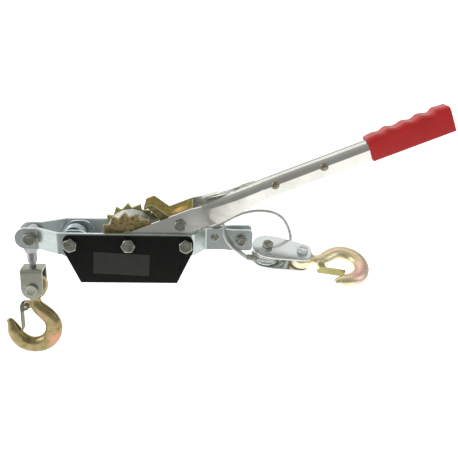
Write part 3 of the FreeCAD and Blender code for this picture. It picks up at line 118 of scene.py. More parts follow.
class Graph:
    """Small helper round one material's node tree."""

    def __init__(self, name):
        self.material = bpy.data.materials.new(name)
        self.material.use_nodes = True
        self.tree = self.material.node_tree
        self.shader = self.tree.nodes["Principled BSDF"]
        self.place = self.add("ShaderNodeTexCoord").outputs["Object"]

    def add(self, kind, **inputs):
        """New node with its sockets set to values or linked to other sockets."""
        node = self.tree.nodes.new(kind)
        for key, value in inputs.items():
            self.set(node, key.replace("_", " "), value)
        return node

    def set(self, node, socket, value):
        """Value or link for one input."""
        target = node.inputs[socket]
        if isinstance(value, bpy.types.NodeSocket):
            self.tree.links.new(value, target)
        else:
            target.default_value = value

    def noise(self, scale, detail=3.0, rough=0.55, stretch=None):
        """Noise of a scale per metre, 0 to 1."""
        place = self.place
        if stretch is not None:
            place = self.add("ShaderNodeVectorMath", Vector=place)
            place.operation = "MULTIPLY"
            place.inputs[1].default_value = stretch
            place = place.outputs[0]
        node = self.add("ShaderNodeTexNoise", Vector=place, Scale=scale, Detail=detail, Roughness=rough)
        return node.outputs["Fac"]

    def spread(self, value, low, high, start=0.3, stop=0.7):
        """Map a value from start to stop onto low to high, and hold it there outside them."""
        node = self.add("ShaderNodeMapRange", Value=value, From_Min=start, From_Max=stop,
                        To_Min=low, To_Max=high)
        return node.outputs["Result"]

    def ramp(self, value, stops):
        """Colour ramp over (position, colour) stops."""
        node = self.add("ShaderNodeValToRGB", Fac=value)
        ramp = node.color_ramp
        while len(ramp.elements) < len(stops):
            ramp.elements.new(0.5)
        for element, (position, colour) in zip(ramp.elements, stops):
            element.position = position
            element.color = (*colour, 1.0)
        return node.outputs["Color"]

    def mix(self, factor, first, second, blend="MIX"):
        """Blend of two colours."""
        node = self.add("ShaderNodeMix")
        node.data_type, node.blend_type = "RGBA", blend
        for socket, value in ((node.inputs[0], factor), (node.inputs[6], first), (node.inputs[7], second)):
            if isinstance(value, bpy.types.NodeSocket):
                self.tree.links.new(value, socket)
            else:
                socket.default_value = value if not isinstance(value, tuple) else (*value, 1.0)
        return node.outputs[2]

    def math(self, operation, first, second):
        """Result of a simple operation on two values."""
        node = self.add("ShaderNodeMath")
        node.operation = operation
        self.set(node, 0, first)
        self.set(node, 1, second)
        return node.outputs[0]

    # Spot of colour round a point, used for real stains and for painted highlights
    def spot(self, centre, radius):
        """Nearness of a point, both in millimetres, broken up by noise, 0 to 1."""
        node = self.add("ShaderNodeVectorMath")
        node.operation = "DISTANCE"
        self.set(node, 0, self.place)
        node.inputs[1].default_value = mm(*centre)
        close = self.spread(node.outputs["Value"], 1.0, 0.0, 0.4 * radius * MM, radius * MM)
        return self.math("MULTIPLY", close, self.spread(self.noise(150.0, 4.0, 0.6), 0.45, 1.0, 0.35, 0.6))

    def edge(self, width):
        """Nearness of a sharp edge, 0 to 1."""
        node = self.add("ShaderNodeVectorMath")
        node.operation = "DOT_PRODUCT"
        self.set(node, 0, self.add("ShaderNodeBevel", Radius=width).outputs["Normal"])
        self.set(node, 1, self.add("ShaderNodeNewGeometry").outputs["Normal"])
        return self.spread(node.outputs["Value"], 1.0, 0.0, 0.86, 0.99)

    def bump(self, height, strength, distance):
        """Bump from a height socket."""
        node = self.add("ShaderNodeBump", Height=height, Strength=strength, Distance=distance)
        self.set(self.shader, "Normal", node.outputs["Normal"])

    def finish(self, **inputs):
        """Set the shader's sockets and return the material."""
        for key, value in inputs.items():
            if isinstance(value, tuple):
                value = (*value, 1.0)
            self.set(self.shader, key.replace("_", " "), value)
        return self.material


GRIME = (0.25, 0.24, 0.22)
# Share of metal that the painted highlight along edges takes away
HIGHLIGHT_METAL_LOSS = 0.6
GRAZE_LEVEL = 0.2


def plated(name, colours, rough=(0.22, 0.4), patch=38.0, scratch=1.0, metal=0.8, uneven=0.07, highlight=None,
           edge=0.0007, graze=None, stains_and_highlights=()):
    """Plated steel with tint patches, drag marks, a painted highlight along its edges, a tint at grazing
    angles, and spots that are real stains or painted highlights.

    rough is the range of roughness, patch the scale of the tint per metre, scratch how dark the marks are,
    metal how metallic it is, uneven the strength of the bump, highlight the colour of the painted highlight
    along its edges, which also makes them less metallic, edge how wide these are in metres, graze the tint of
    its sheen at low angles, and stains_and_highlights a list of (centre, radius, colour) in millimetres of
    spots, each a real stain or a painted highlight.
    """
    g = Graph(name)
    tint = g.ramp(g.noise(patch, 4.0, 0.6), colours)
    fine = g.noise(900.0, 2.0, 0.5)
    marks = g.noise(240.0, 5.0, 0.65, (0.25, 1.0, 2.2))
    colour = g.mix(g.spread(marks, 0.0, 0.22 * scratch), tint, GRIME, "MULTIPLY")
    # Spots of colour: the pawl's orange and the hook's pinkish spot are painted highlights, the anchor hook's
    # reddish spot a tint of its plating
    for centre, radius, spot in stains_and_highlights:
        colour = g.mix(g.spot(centre, radius), colour, spot)
    # Painted highlight: sharp edges take a light colour and less metal, in place of the light their rounding
    # catches
    if highlight is not None:
        near = g.edge(edge)
        colour = g.mix(near, colour, highlight)
        metal = g.math("SUBTRACT", metal, g.math("MULTIPLY", near, HIGHLIGHT_METAL_LOSS))
    if uneven:
        g.bump(g.mix(0.5, fine, marks), uneven, 0.0004)
    if graze is not None:
        g.shader.inputs["Specular Tint"].default_value = (*graze, 1.0)
        g.shader.inputs["Specular IOR Level"].default_value = GRAZE_LEVEL
    return g.finish(Base_Color=colour, Metallic=metal, Roughness=g.spread(marks, *rough))


def painted(name, colour, rough=0.3, grain=700.0, depth=0.18, level=0.5):
    """Sprayed paint with a faint orange peel."""
    g = Graph(name)
    g.shader.inputs["Specular IOR Level"].default_value = level
    peel = g.noise(grain, 2.0, 0.4)
    shade = g.mix(g.spread(g.noise(40.0), 0.0, 0.35), colour, tuple(0.6 * c for c in colour))
    g.bump(peel, depth, 0.0003)
    return g.finish(Base_Color=shade, Roughness=g.spread(g.noise(120.0, 4.0), rough - 0.06, rough + 0.1))


def tints(*colours):
    """Evenly placed stops between the usual extremes of a noise."""
    return [(0.28 + 0.44 * k / (len(colours) - 1), colour) for k, colour in enumerate(colours)]


def make_materials():
    """Every finish of the tool, by material slot or by the name of the node that has its own."""
    zinc = tints((0.50, 0.57, 0.56), (0.60, 0.66, 0.64), (0.66, 0.70, 0.67))
    blue_zinc = tints((0.50, 0.60, 0.63), (0.60, 0.70, 0.72), (0.68, 0.76, 0.78))
    white_zinc = tints((0.60, 0.63, 0.62), (0.66, 0.69, 0.67), (0.68, 0.71, 0.69))
    warm_zinc = tints((0.52, 0.51, 0.46), (0.62, 0.61, 0.56), (0.68, 0.67, 0.62))
    bright_zinc = tints((0.62, 0.61, 0.55), (0.71, 0.70, 0.64), (0.76, 0.75, 0.70))
    grey_zinc = tints((0.30, 0.30, 0.24), (0.38, 0.38, 0.31), (0.44, 0.44, 0.37))
    light_zinc = tints((0.26, 0.27, 0.26), (0.36, 0.37, 0.36), (0.42, 0.43, 0.42))
    dull_zinc = tints((0.18, 0.18, 0.15), (0.32, 0.32, 0.27), (0.44, 0.43, 0.38))
    chromate = tints((0.15, 0.13, 0.05), (0.30, 0.24, 0.10), (0.50, 0.38, 0.19), (0.46, 0.22, 0.14))
    olive = tints((0.22, 0.22, 0.06), (0.46, 0.46, 0.16), (0.68, 0.60, 0.30))
    old_gold = tints((0.16, 0.13, 0.05), (0.30, 0.24, 0.10), (0.40, 0.32, 0.16), (0.36, 0.20, 0.12))
    gold = tints((0.66, 0.58, 0.30), (0.84, 0.74, 0.46), (0.92, 0.80, 0.56), (0.92, 0.66, 0.54))
    grey_brown = tints((0.26, 0.22, 0.17), (0.36, 0.31, 0.24))
    dark_olive = tints((0.13, 0.12, 0.05), (0.22, 0.20, 0.09), (0.38, 0.30, 0.14))
    # cream and pale are colours of painted highlights along edges; brown is a sheen tint
    cream, pale, brown = (0.92, 0.86, 0.62), (0.90, 0.92, 0.90), (0.45, 0.36, 0.18)
    made = {
        "strap": plated("zinc_plate", zinc, (0.26, 0.38), 38.0, 0.7, 0.95, 0.02, pale),
        "rear_strap": plated("dull_zinc_plate", zinc, (0.28, 0.42), 38.0, 0.7, 0.3, 0.02, pale),
        "handle": plated("bright_zinc", bright_zinc, (0.14, 0.22), 22.0, 0.15, 0.95, 0.0),
        "block": plated("white_zinc", white_zinc, (0.12, 0.18), 20.0, 0.0, 0.75, 0.0),
        "knuckle": plated("light_zinc", light_zinc, (0.18, 0.3), metal=0.9, highlight=pale),
        "clevis": plated("grey_zinc", grey_zinc, (0.3, 0.45), metal=0.8, highlight=pale),
        "fastener": plated("bolt_zinc", dull_zinc, (0.22, 0.34), 160.0, 0.8, 0.95, 0.1, pale, 0.0012),
        "bush": plated("turned_steel", zinc, (0.25, 0.4)),
        "hold_pawl": plated("blue_zinc", blue_zinc, (0.25, 0.4), metal=0.8, highlight=pale),
        "wheel": plated("yellow_chromate", chromate, (0.3, 0.45), 260.0, 0.8, 0.8, 0.15, cream, 0.0016,
                        brown),
        "rear_wheel": plated("green_chromate", olive, (0.3, 0.45), 260.0, 0.8, 0.8, 0.15, cream, 0.0013,
                             brown),
        "pawl": plated("dark_chromate", dark_olive, (0.32, 0.48), 160.0, 0.8, 0.8, 0.1, cream, 0.0016, brown,
                       # Orange spot on the pawl's tail: a painted highlight
                       [((64.0, -8.0, 92.0), 13.0, (0.78, 0.50, 0.20))]),
        "hook": plated("gold_chromate", gold, (0.25, 0.38), 45.0, 0.3, 0.9,
                       # Pinkish spot on the front of the hook: a painted highlight
                       stains_and_highlights=[((298.0, -35.0, 16.0), 26.0, (0.92, 0.60, 0.50))]),
        "anchor_hook": plated("brown_chromate", old_gold, (0.2, 0.34), 90.0, 0.8, 0.85,
                              stains_and_highlights=[((-103.0, -4.0, -99.0), 17.0, (0.62, 0.30, 0.20))]),
        "anchor_latch": plated("grey_chromate", tints((0.10, 0.10, 0.06), (0.17, 0.16, 0.10)), (0.35, 0.5)),
        "latch": plated("olive_chromate", tints((0.34, 0.32, 0.12), (0.48, 0.44, 0.18)), (0.3, 0.45),
                        highlight=cream),
        "rivet": plated("rivet_plate", grey_brown, (0.22, 0.35), 120.0),
        "rope": plated("galvanised_wire", tints((0.66, 0.65, 0.61), (0.80, 0.79, 0.75)), (0.3, 0.45), 120.0),
        "cover": painted("black_paint", (0.006, 0.006, 0.005), 0.34, level=0.18),
        "grip": painted("red_vinyl", (0.55, 0.018, 0.018), 0.36, 420.0, 0.12, 0.4),
        "label": painted("label_film", (0.036, 0.036, 0.033), 0.42, 900.0, 0.05, 0.25),
        "liner": painted("dark_sleeve", (0.03, 0.03, 0.03), 0.5),
    }
    made["spring"] = made["hold_pawl"]
    made["sheave"] = made["block"]
    made["sleeve"] = plated("pressed_alloy", tints((0.30, 0.29, 0.24), (0.40, 0.39, 0.33)), (0.3, 0.5), 120.0)
    return made


def dress(obj, material):
    """One material on an object."""
    obj.data.materials.clear()
    obj.data.materials.append(material)


def soften(obj, width, segments=2):
    """Rounded edges on a solid that came from CAD."""
    for polygon in obj.data.polygons:
        polygon.use_smooth = True
    weld = obj.modifiers.new("weld", "WELD")
    weld.merge_threshold = 2e-6
    bevel = obj.modifiers.new("bevel", "BEVEL")
    bevel.width, bevel.segments = width, segments
    bevel.limit_method, bevel.angle_limit = "ANGLE", math.radians(32)
    bevel.use_clamp_overlap = True
    obj.modifiers.new("normals", "WEIGHTED_NORMAL")


# Pieces in mesh code

def piece(name, bm, body, material, replaces=(), stretch=None):
    """Finished mesh object that rides on a body."""
    mesh = bpy.data.meshes.new(name)
    bm.to_mesh(mesh)
    bm.free()
    return add_piece(name, mesh, body, material, replaces, stretch)


def add_piece(name, data, body, material, replaces=(), stretch=None):
    """stretch is for rope that follows the block when it runs out: the two points between which it would
    lengthen. Only whether it is given is read: such a piece is set in the real frame and rides on no body.
    """
    obj = bpy.data.objects.new(name, data)
    bpy.context.scene.collection.objects.link(obj)
    dress(obj, material)
    if stretch:
        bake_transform(obj)
    else:
        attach(obj, body)
    if replaces:
        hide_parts(*replaces)
    return obj


def tube_along(bm, points, radius, sides):
    """Closed tube through points, its rings carried along without twist."""
    rings, side = [], None
    for i, point in enumerate(points):
        ahead = points[min(i + 1, len(points) - 1)] - points[max(i - 1, 0)]
        ahead.normalize()
        if side is None:
            side = ahead.orthogonal().normalized()
        side = (side - ahead * side.dot(ahead)).normalized()
        other = ahead.cross(side)
        rings.append([bm.verts.new(point + (side * math.cos(a) + other * math.sin(a)) * radius)
                      for a in (2 * math.pi * k / sides for k in range(sides))])
    skin(bm, rings)


def skin(bm, rings):
    """Faces between rings of the same count, with closed ends."""
    for low, high in zip(rings, rings[1:]):
        for k in range(len(low)):
            j = (k + 1) % len(low)
            bm.faces.new((low[k], low[j], high[j], high[k])).smooth = True
    bm.faces.new(rings[0][::-1])
    bm.faces.new(rings[-1])


def even_points(points, step):
    """The same line with points a step apart."""
    lengths = [0.0]
    for a, b in zip(points, points[1:]):
        lengths.append(lengths[-1] + (b - a).length)
    count = max(2, int(round(lengths[-1] / step)))
    made, k = [], 0
    for i in range(count + 1):
        at = lengths[-1] * i / count
        while k < len(lengths) - 2 and lengths[k + 1] < at:
            k += 1
        span = lengths[k + 1] - lengths[k]
        made.append(points[k].lerp(points[k + 1], (at - lengths[k]) / span if span else 0.0))
    return made


def route(name, points):
    """Points along a smooth line that has the given points as its control points."""
    curve = bpy.data.curves.new(name, "CURVE")
    curve.dimensions = "3D"
    spline = curve.splines.new("NURBS")
    spline.points.add(len(points) - 1)
    for target, point in zip(spline.points, points):
        target.co = (*point, 1.0)
    spline.order_u = 3
    spline.use_endpoint_u = True
    spline.resolution_u = 16
    obj = bpy.data.objects.new(name, curve)
    bpy.context.scene.collection.objects.link(obj)
    mesh = bpy.data.meshes.new_from_object(obj)
    line = [vertex.co.copy() for vertex in mesh.vertices]
    bpy.data.objects.remove(obj)
    bpy.data.meshes.remove(mesh)
    return line


# Make of the wire rope: length of one full twist in metres, steps along it, number of strands, and the
# radii of a strand and of the core as shares of the rope's
ROPE_LAY, LAY_STEPS, STRANDS = 0.026, 14.0, 6
STRAND_SHARE, CORE_SHARE = 0.36, 0.55


def rope_strands(bm, line, radius):
    """Strands laid round a line, with a core."""
    points = even_points(line, ROPE_LAY / LAY_STEPS)
    strand = radius * STRAND_SHARE
    side, frames = None, []
    for i, point in enumerate(points):
        ahead = (points[min(i + 1, len(points) - 1)] - points[max(i - 1, 0)]).normalized()
        if side is None:
            side = ahead.orthogonal().normalized()
        side = (side - ahead * side.dot(ahead)).normalized()
        frames.append((point, side.copy(), ahead.cross(side)))
    for k in range(STRANDS):
        path = []
        for i, (point, a, b) in enumerate(frames):
            angle = 2 * math.pi * (k / STRANDS + i / LAY_STEPS)
            path.append(point + (a * math.cos(angle) + b * math.sin(angle)) * (radius - strand))
        tube_along(bm, path, strand, 7)
    tube_along(bm, points, radius * CORE_SHARE, 6)


def lathe(bm, profile, place, steps=32):
    """Solid of revolution: profile of (radius, height) pairs about a placement's z."""
    rings = []
    for radius, height in profile:
        if radius < 1e-7:
            rings.append([bm.verts.new(place @ Vector((0, 0, height)))])
            continue
        rings.append([bm.verts.new(place @ Vector((radius * math.cos(a), radius * math.sin(a), height)))
                      for a in (2 * math.pi * k / steps for k in range(steps))])
    for low, high in zip(rings, rings[1:]):
        for k in range(steps):
            j = (k + 1) % steps
            corners = [low[k % len(low)], low[j % len(low)], high[j % len(high)], high[k % len(high)]]
            face = bm.faces.new(list(dict.fromkeys(corners)))
            face.smooth = True


def placement(base, direction, spin=0.0):
    """Matrix whose z points along a direction from a base point."""
    turn = direction.to_track_quat("Z", "Y").to_matrix().to_4x4()
    return Matrix.Translation(base) @ turn @ Matrix.Rotation(spin, 4, "Z")


# Stage and light, in metres

# Floor and backdrop in profile, as (distance behind the tool, height over the floor), and their half width
SWEEP = [(-6.0, 0.0), (1.1, 0.0), (1.5, 0.06), (1.8, 0.35), (1.9, 0.9), (1.9, 4.0)]
SWEEP_HALF, FLOOR_DROP = 6.0, 0.004

# Bright patches of the floor well in front of the tool, that its arms reflect: x, y, half sizes, soft margin
PATCHES = [(0.80, -0.74, 0.38, 0.28, 0.04), (0.11, -0.62, 0.015, 0.015, 0.04)]


def patch_share(g, x, y, patch):
    """How far a point of the floor lies inside a patch with soft sides, 0 to 1."""
    centre_x, centre_y, half_x, half_y, margin = patch
    across = g.math("ABSOLUTE", g.math("SUBTRACT", x, centre_x), 0.0)
    ahead = g.math("ABSOLUTE", g.math("SUBTRACT", y, centre_y), 0.0)
    return g.math("MULTIPLY", g.spread(across, 1.0, 0.0, half_x, half_x + margin),
                  g.spread(ahead, 1.0, 0.0, half_y, half_y + margin))


def make_stage():
    """Pale floor and backdrop in one sweep, dimmer well in front of the tool, far right and high up."""
    low = CAD_BOX[0].z - FLOOR_DROP
    bm = bmesh.new()
    rows = [[bm.verts.new((x, y, low + z)) for x in (-SWEEP_HALF, SWEEP_HALF)] for y, z in SWEEP]
    for a, b in zip(rows, rows[1:]):
        bm.faces.new((a[0], a[1], b[1], b[0])).smooth = True
    mesh = bpy.data.meshes.new("sweep")
    bm.to_mesh(mesh)
    bm.free()
    sweep = bpy.data.objects.new("sweep", mesh)
    bpy.context.scene.collection.objects.link(sweep)
    g = Graph("sweep_white")
    split = g.add("ShaderNodeSeparateXYZ", Vector=g.place)
    x, y, z = (split.outputs[axis] for axis in "XYZ")
    front_edge = g.spread(x, -0.27, -0.52, 0.215, 0.26)
    near = g.spread(g.math("SUBTRACT", y, front_edge), 0.0, 1.0, 0.0, 0.05)
    side = g.math("SUBTRACT", x, g.math("MULTIPLY", y, 0.42))
    behind = g.spread(y, 0.0, 0.65, -0.22, -0.12)
    right = g.math("SUBTRACT", 1.0, g.math("MULTIPLY", behind, g.spread(side, 0.0, 1.0, 0.455, 0.50)))
    high = g.spread(z, 1.0, 0.25, 0.95, 1.25)
    share = g.math("MULTIPLY", g.math("MULTIPLY", near, right), high)
    for patch in PATCHES:
        share = g.math("MAXIMUM", share, patch_share(g, x, y, patch))
    g.shader.inputs["Base Color"].default_value = (0.12, 0.12, 0.12, 1)
    g.shader.inputs["Roughness"].default_value = 0.95
    g.shader.inputs["Specular IOR Level"].default_value = 0.0
    g.shader.inputs["Emission Color"].default_value = (1, 1, 1, 1)
    g.set(g.shader, "Emission Strength", g.spread(share, 0.24, 1.35, 0.0, 1.0))
    mesh.materials.append(g.material)


def area_light(name, place, target, size, power):
    """Soft white rectangular light aimed at a point."""
    data = bpy.data.lights.new(name, "AREA")
    data.shape, data.size, data.size_y = "RECTANGLE", size[0], size[1]
    data.energy = power
    light = bpy.data.objects.new(name, data)
    aim = (target - place).to_track_quat("-Z", "Y").to_matrix().to_4x4()
    light.matrix_world = Matrix.Translation(place) @ aim
    bpy.context.scene.collection.objects.link(light)


def make_look():
    """Plain display of the scene, with no film curve."""
    settings = bpy.context.scene.view_settings
    settings.view_transform, settings.look = "Standard", "None"


def make_room():
    """Grey room, bright on the left, cooler on the right and pale overhead."""
    world = bpy.data.worlds.new("room")
    bpy.context.scene.world = world
    world.use_nodes = True
    nodes, links = world.node_tree.nodes, world.node_tree.links
    split = nodes.new("ShaderNodeSeparateXYZ")
    links.new(nodes.new("ShaderNodeTexCoord").outputs["Generated"], split.inputs[0])
    colour = None
    for axis, start, stop, tint in (("X", -0.35, -0.8, (0.9, 1.0, 1.0)), ("X", 0.35, 0.8, (0.05, 0.16, 0.16)),
                                    ("Z", 0.55, 0.95, (0.14, 0.14, 0.14))):
        share = nodes.new("ShaderNodeMapRange")
        links.new(split.outputs[axis], share.inputs["Value"])
        share.inputs["From Min"].default_value, share.inputs["From Max"].default_value = start, stop
        add = nodes.new("ShaderNodeMix")
        add.data_type, add.blend_type = "RGBA", "ADD"
        links.new(share.outputs["Result"], add.inputs[0])
        if colour is None:
            add.inputs[6].default_value = (0.30, 0.30, 0.30, 1)
        else:
            links.new(colour, add.inputs[6])
        add.inputs[7].default_value = (*tint, 1)
        colour = add.outputs[2]
    links.new(colour, nodes["Background"].inputs["Color"])


def make_light():
    """Large soft lights from the left, above and the right."""
    make_room()
    middle = Vector((0.05, 0, 0.05))
    area_light("left_box", Vector((-1.3, -0.7, 0.7)), middle, (1.0, 1.0), 5.0)
    area_light("top_box", Vector((0.1, 0.3, 1.5)), middle, (1.6, 1.0), 4.0)
    area_light("right_box", Vector((1.4, -0.5, 0.8)), middle, (0.7, 1.0), 2.0)


# Placement of the tilted pulley block, as in the solids

BLOCK_HEADING, BLOCK_DIP, BLOCK_ROLL = -8.6, -6.5, -23.8


def block_axes():
    """Directions of the block: towards its hook, across, and square to its cheeks."""
    heading, dip, roll = (math.radians(a) for a in (BLOCK_HEADING, BLOCK_DIP, BLOCK_ROLL))
    along = Vector((math.cos(heading) * math.cos(dip), math.sin(heading) * math.cos(dip), math.sin(dip)))
    level = (Z - along * Z.dot(along)).normalized()
    square = level * math.cos(roll) + level.cross(along) * math.sin(roll)
    return along, square.cross(along), square


ALONG, ACROSS, SQUARE = block_axes()
BLOCK_CENTRE = mm(178.9, -5.0, 34.5)
GROOVE_R = 16.7
WRAP_START, WRAP_END = -92.0, -33.2


def block_point(x, y, z=0.0):
    """Point of the block's frame, in millimetres, in the real frame."""
    return BLOCK_CENTRE + (ALONG * x + ACROSS * y + SQUARE * z) * MM


def wrap_point(angle, beyond=0.0):
    """Point on the sheave's rope circle, or beyond it along the tangent."""
    turn = math.radians(angle)
    return block_point(GROOVE_R * math.cos(turn) - math.sin(turn) * beyond,
                       GROOVE_R * math.sin(turn) + math.cos(turn) * beyond)


def handle_turn():
    """Matrix from the handle's own frame to the real one."""
    return Matrix.Translation(mm(0, 0, DRUM_RISE)) @ Matrix.Rotation(-math.radians(HANDLE_ANGLE), 4, "Y")


# Fasteners

# Shallow dish in a hexagon head: share of its half width, and depth in metres
DISH = ((0.30, 0.00025), (0.52, 0.00022), (0.60, 0.0001), (0.68, 0.0))

# Shares of a hexagon's half width where its flat top ends, its foot closes and its chamfer starts
FLAT_SHARE, FOOT_SHARE, CHAMFER_SHARE, CHAMFER_SLOPE = 0.93, 0.4, 0.97, 0.55

# Rounding of a hexagon's edges, in metres, and its points all round
EDGE_ROUND, HEX_STEPS = 0.0002, 72


def hex_outline(flats, turn):
    """Distance from the middle to the side of a hexagon in a direction."""
    part = math.radians(60)
    return flats / 2 / math.cos((turn % part) - part / 2)


def hex_body(bm, place, flats, height, bore=None):
    """Hexagon head with a chamfered, dished top, or a nut that is bored and has a chamfer at both ends."""
    half = flats / 2
    flat_top, foot = half * FLAT_SHARE, half * FOOT_SHARE
    turns = [2 * math.pi * k / HEX_STEPS for k in range(HEX_STEPS)]

    def ring(radius, level):
        """Points all round, with a radius and a level for each direction."""
        return [bm.verts.new(place @ Vector((radius(a) * math.cos(a), radius(a) * math.sin(a), level(a))))
                for a in turns]

    def circle(radius, level):
        """Points all round at one radius and level."""
        return ring(lambda a: radius, lambda a: level)

    def side(a):
        """Radius of the hexagon's side."""
        return hex_outline(flats, a)

    def inner_side(a):
        """Radius just inside the hexagon's side."""
        return side(a) - EDGE_ROUND

    def slope(a):
        """Depth of the chamfer."""
        return max(0.0, side(a) - half * CHAMFER_SHARE) * CHAMFER_SLOPE

    if bore:
        rings = [circle(bore, height)]
    else:
        rings = [circle(half * share, height - depth) for share, depth in DISH]
    rings += [circle(flat_top, height), ring(inner_side, lambda a: height - 0.5 * EDGE_ROUND - slope(a)),
              ring(side, lambda a: height - 2 * EDGE_ROUND - slope(a))]
    if bore:
        rings += [ring(side, lambda a: 1.5 * EDGE_ROUND + slope(a)), circle(flat_top, 0.0),
                  circle(bore, 0.0), rings[0]]
    else:
        rings += [ring(side, lambda a: EDGE_ROUND), ring(inner_side, lambda a: 0.0), circle(foot, 0.0)]
    for high, low in zip(rings, rings[1:]):
        for k in range(HEX_STEPS):
            j = (k + 1) % HEX_STEPS
            bm.faces.new((high[k], low[k], low[j], high[j]))
    if not bore:
        bm.faces.new(rings[0])
        bm.faces.new(rings[-1][::-1])
    for face in bm.faces:
        face.smooth = True


def threaded_shank(bm, place, radius, length, thread):
    """Plain shank that ends in a thread with a chamfered tip; z points to its tip. All in metres."""
    pitch, depth = 0.0012, 0.0006
    profile = [(0.0, 0.0), (radius, 0.0), (radius, length - thread)]
    count = int(thread / pitch) - 1
    for k in range(count):
        at = length - thread + k * pitch
        profile += [(radius - depth, at + 0.35 * pitch), (radius, at + 0.85 * pitch), (radius, at + pitch)]
    profile += [(radius - depth, length - 0.0006), (radius - 1.8 * depth, length), (0.0, length)]
    lathe(bm, profile, place, 28)


def bolt_piece(node, body, material, base, direction, flats, height, radius, length, spin=0.0, thread=14.0):
    """Hexagon bolt in millimetres, its head behind the base."""
    bm = bmesh.new()
    head = placement(base, -direction, math.radians(spin))
    hex_body(bm, head, flats * MM, height * MM)
    threaded_shank(bm, placement(base, direction), radius * MM, length * MM, thread * MM)
    return piece(node + ".detail", bm, body, material, (node,))


def nut_piece(node, body, material, places, flats, height, bolt):
    """Hexagon nuts in millimetres for a radius of bolt: (base, direction, spin) each."""
    bm = bmesh.new()
    bore = (bolt + BORE_FIT) * MM
    for base, direction, spin in places:
        hex_body(bm, placement(base, direction, math.radians(spin)), flats * MM, height * MM, bore)
    return piece(node + ".detail", bm, body, material, (node,))


# Bolts of the frame: node, place along X, and the spins in degrees that head and nut stopped at
FRAME_BOLTS = (("pawl_bolt", -BOLT_SPACING, 22, 10), ("drum_bolt", 0.0, 2, 24),
               ("spacer_bolt", BOLT_SPACING, 36, 3))

# Bolts of the block: node, place along it, spins of head and nut, and finish
BLOCK_BOLTS = (("sheave_bolt", 0.0, 10, 15, "fastener"), ("pull_hook_bolt", BLOCK_PITCH, 25, 40, "block"))

# Outer faces that heads and nuts bear on, from the middle of their bolt
COVER_FACE, MOUTH_FACE, LOBE_FACE, ARM_FACE, CHEEK_FACE, CLEVIS_FACE = 33.0, 11.0, 14.0, 26.4, 10.9, 13.5

# Radii of the two thicknesses of bolt
THICK, THIN = 5.0, 4.0


def make_fasteners(finishes):
    """Bolts and nuts with real heads and threads."""
    zinc = finishes["fastener"]
    for node, x, spin, _ in FRAME_BOLTS:
        bolt_piece(node, "frame", zinc, mm(x, -COVER_FACE, DRUM_RISE), Y, 16, 6.4, THICK, 77, spin)
    nut_piece("frame_nuts", "frame", zinc,
              [(mm(x, COVER_FACE, DRUM_RISE), Y, spin) for _, x, _, spin in FRAME_BOLTS], 16, 8, THICK)
    place = mm(END_BOLT_REACH, 0, DRUM_RISE)
    bolt_piece("cable_bolt", "frame", zinc, place - Y * MOUTH_FACE * MM, Y, 13, 6.4, THIN, 33, 18)
    nut_piece("cable_bolt_nut", "frame", zinc, [(place + Y * MOUTH_FACE * MM, Y, 8)], 13, 8, THIN)
    place = mm(-LOBE_REACH, 0, DRUM_RISE)
    bolt_piece("knuckle_bolt", "frame", zinc, place - Y * LOBE_FACE * MM, Y, 16, 6.4, THICK, 39, 12)
    nut_piece("knuckle_bolt_nut", "frame", zinc, [(place + Y * LOBE_FACE * MM, Y, 30)], 16, 8, THICK)
    place = handle_turn() @ mm(PAWL_BOLT_REACH, 0, -PAWL_BOLT_DROP)
    bolt_piece("drive_pawl_bolt", "handle", zinc, place - Y * ARM_FACE * MM, Y, 14, 5.5, THIN, 61.8, 15)
    nut_piece("drive_pawl_nut", "handle", zinc, [(place + Y * ARM_FACE * MM, Y, 0)], 14, 6, THIN)
    for node, x, spin, _, finish in BLOCK_BOLTS:
        bolt_piece(node, "block", finishes[finish], block_point(x, 0, CHEEK_FACE), -SQUARE, 13, 5, THICK,
                   30.8, spin, 9.0)
    nut_piece("block_nuts", "block", zinc,
              [(block_point(x, 0, -CHEEK_FACE), -SQUARE, spin) for _, x, _, spin, _ in BLOCK_BOLTS],
              13, 7, THICK)
    make_clevis_bolt(finishes["clevis"])
    make_rivets(finishes["rivet"])


def make_clevis_bolt(material):
    """Round-headed bolt and nut of the anchor's clevis."""
    place = mm(-SWIVEL_REACH, 0, -HOOK_BOLT_DROP)
    base = place - Y * CLEVIS_FACE * MM
    bm = bmesh.new()
    head = [(0.0, 3.6), (5.6, 3.6), (6.0, 3.7), (6.4, 4.1), (6.8, 4.2), (7.2, 4.0), (7.9, 2.6), (8.2, 0.8),
            (8.2, 0.1), (8.0, 0.0), (0.0, 0.0)]
    lathe(bm, [(r * MM, h * MM) for r, h in head], placement(base, -Y), 48)
    threaded_shank(bm, placement(base, Y), THICK * MM, 0.036, 0.010)
    piece("clevis_bolt.detail", bm, "clevis", material, ("clevis_bolt",))
    nut_piece("clevis_nut", "clevis", material, [(place + Y * CLEVIS_FACE * MM, Y, 20)], 15, 7, THICK)


def make_rivets(material):
    """Two rivets across the bar, headed on both sides."""
    bm = bmesh.new()
    head = [(0.0, 14.5), (1.4, 14.45), (2.8, 14.2), (4.0, 13.75), (4.9, 13.1), (5.5, 12.3), (5.6, 11.7),
            (5.55, 11.0), (0.0, 11.0)]
    turn = handle_turn()
    for reach in RIVET_REACHES:
        middle = turn @ mm(reach, 0, 0.2)
        for side in (-1, 1):
            lathe(bm, [(r * MM, h * MM) for r, h in head], placement(middle, Y * side), 40)
        shank = [(0.0, -11.5), (3.0, -11.5), (3.0, 11.5), (0.0, 11.5)]
        lathe(bm, [(r * MM, h * MM) for r, h in shank], placement(middle, Y), 24)
    piece("bar_rivets.detail", bm, "handle", material, ("bar_rivets",))


# Rope

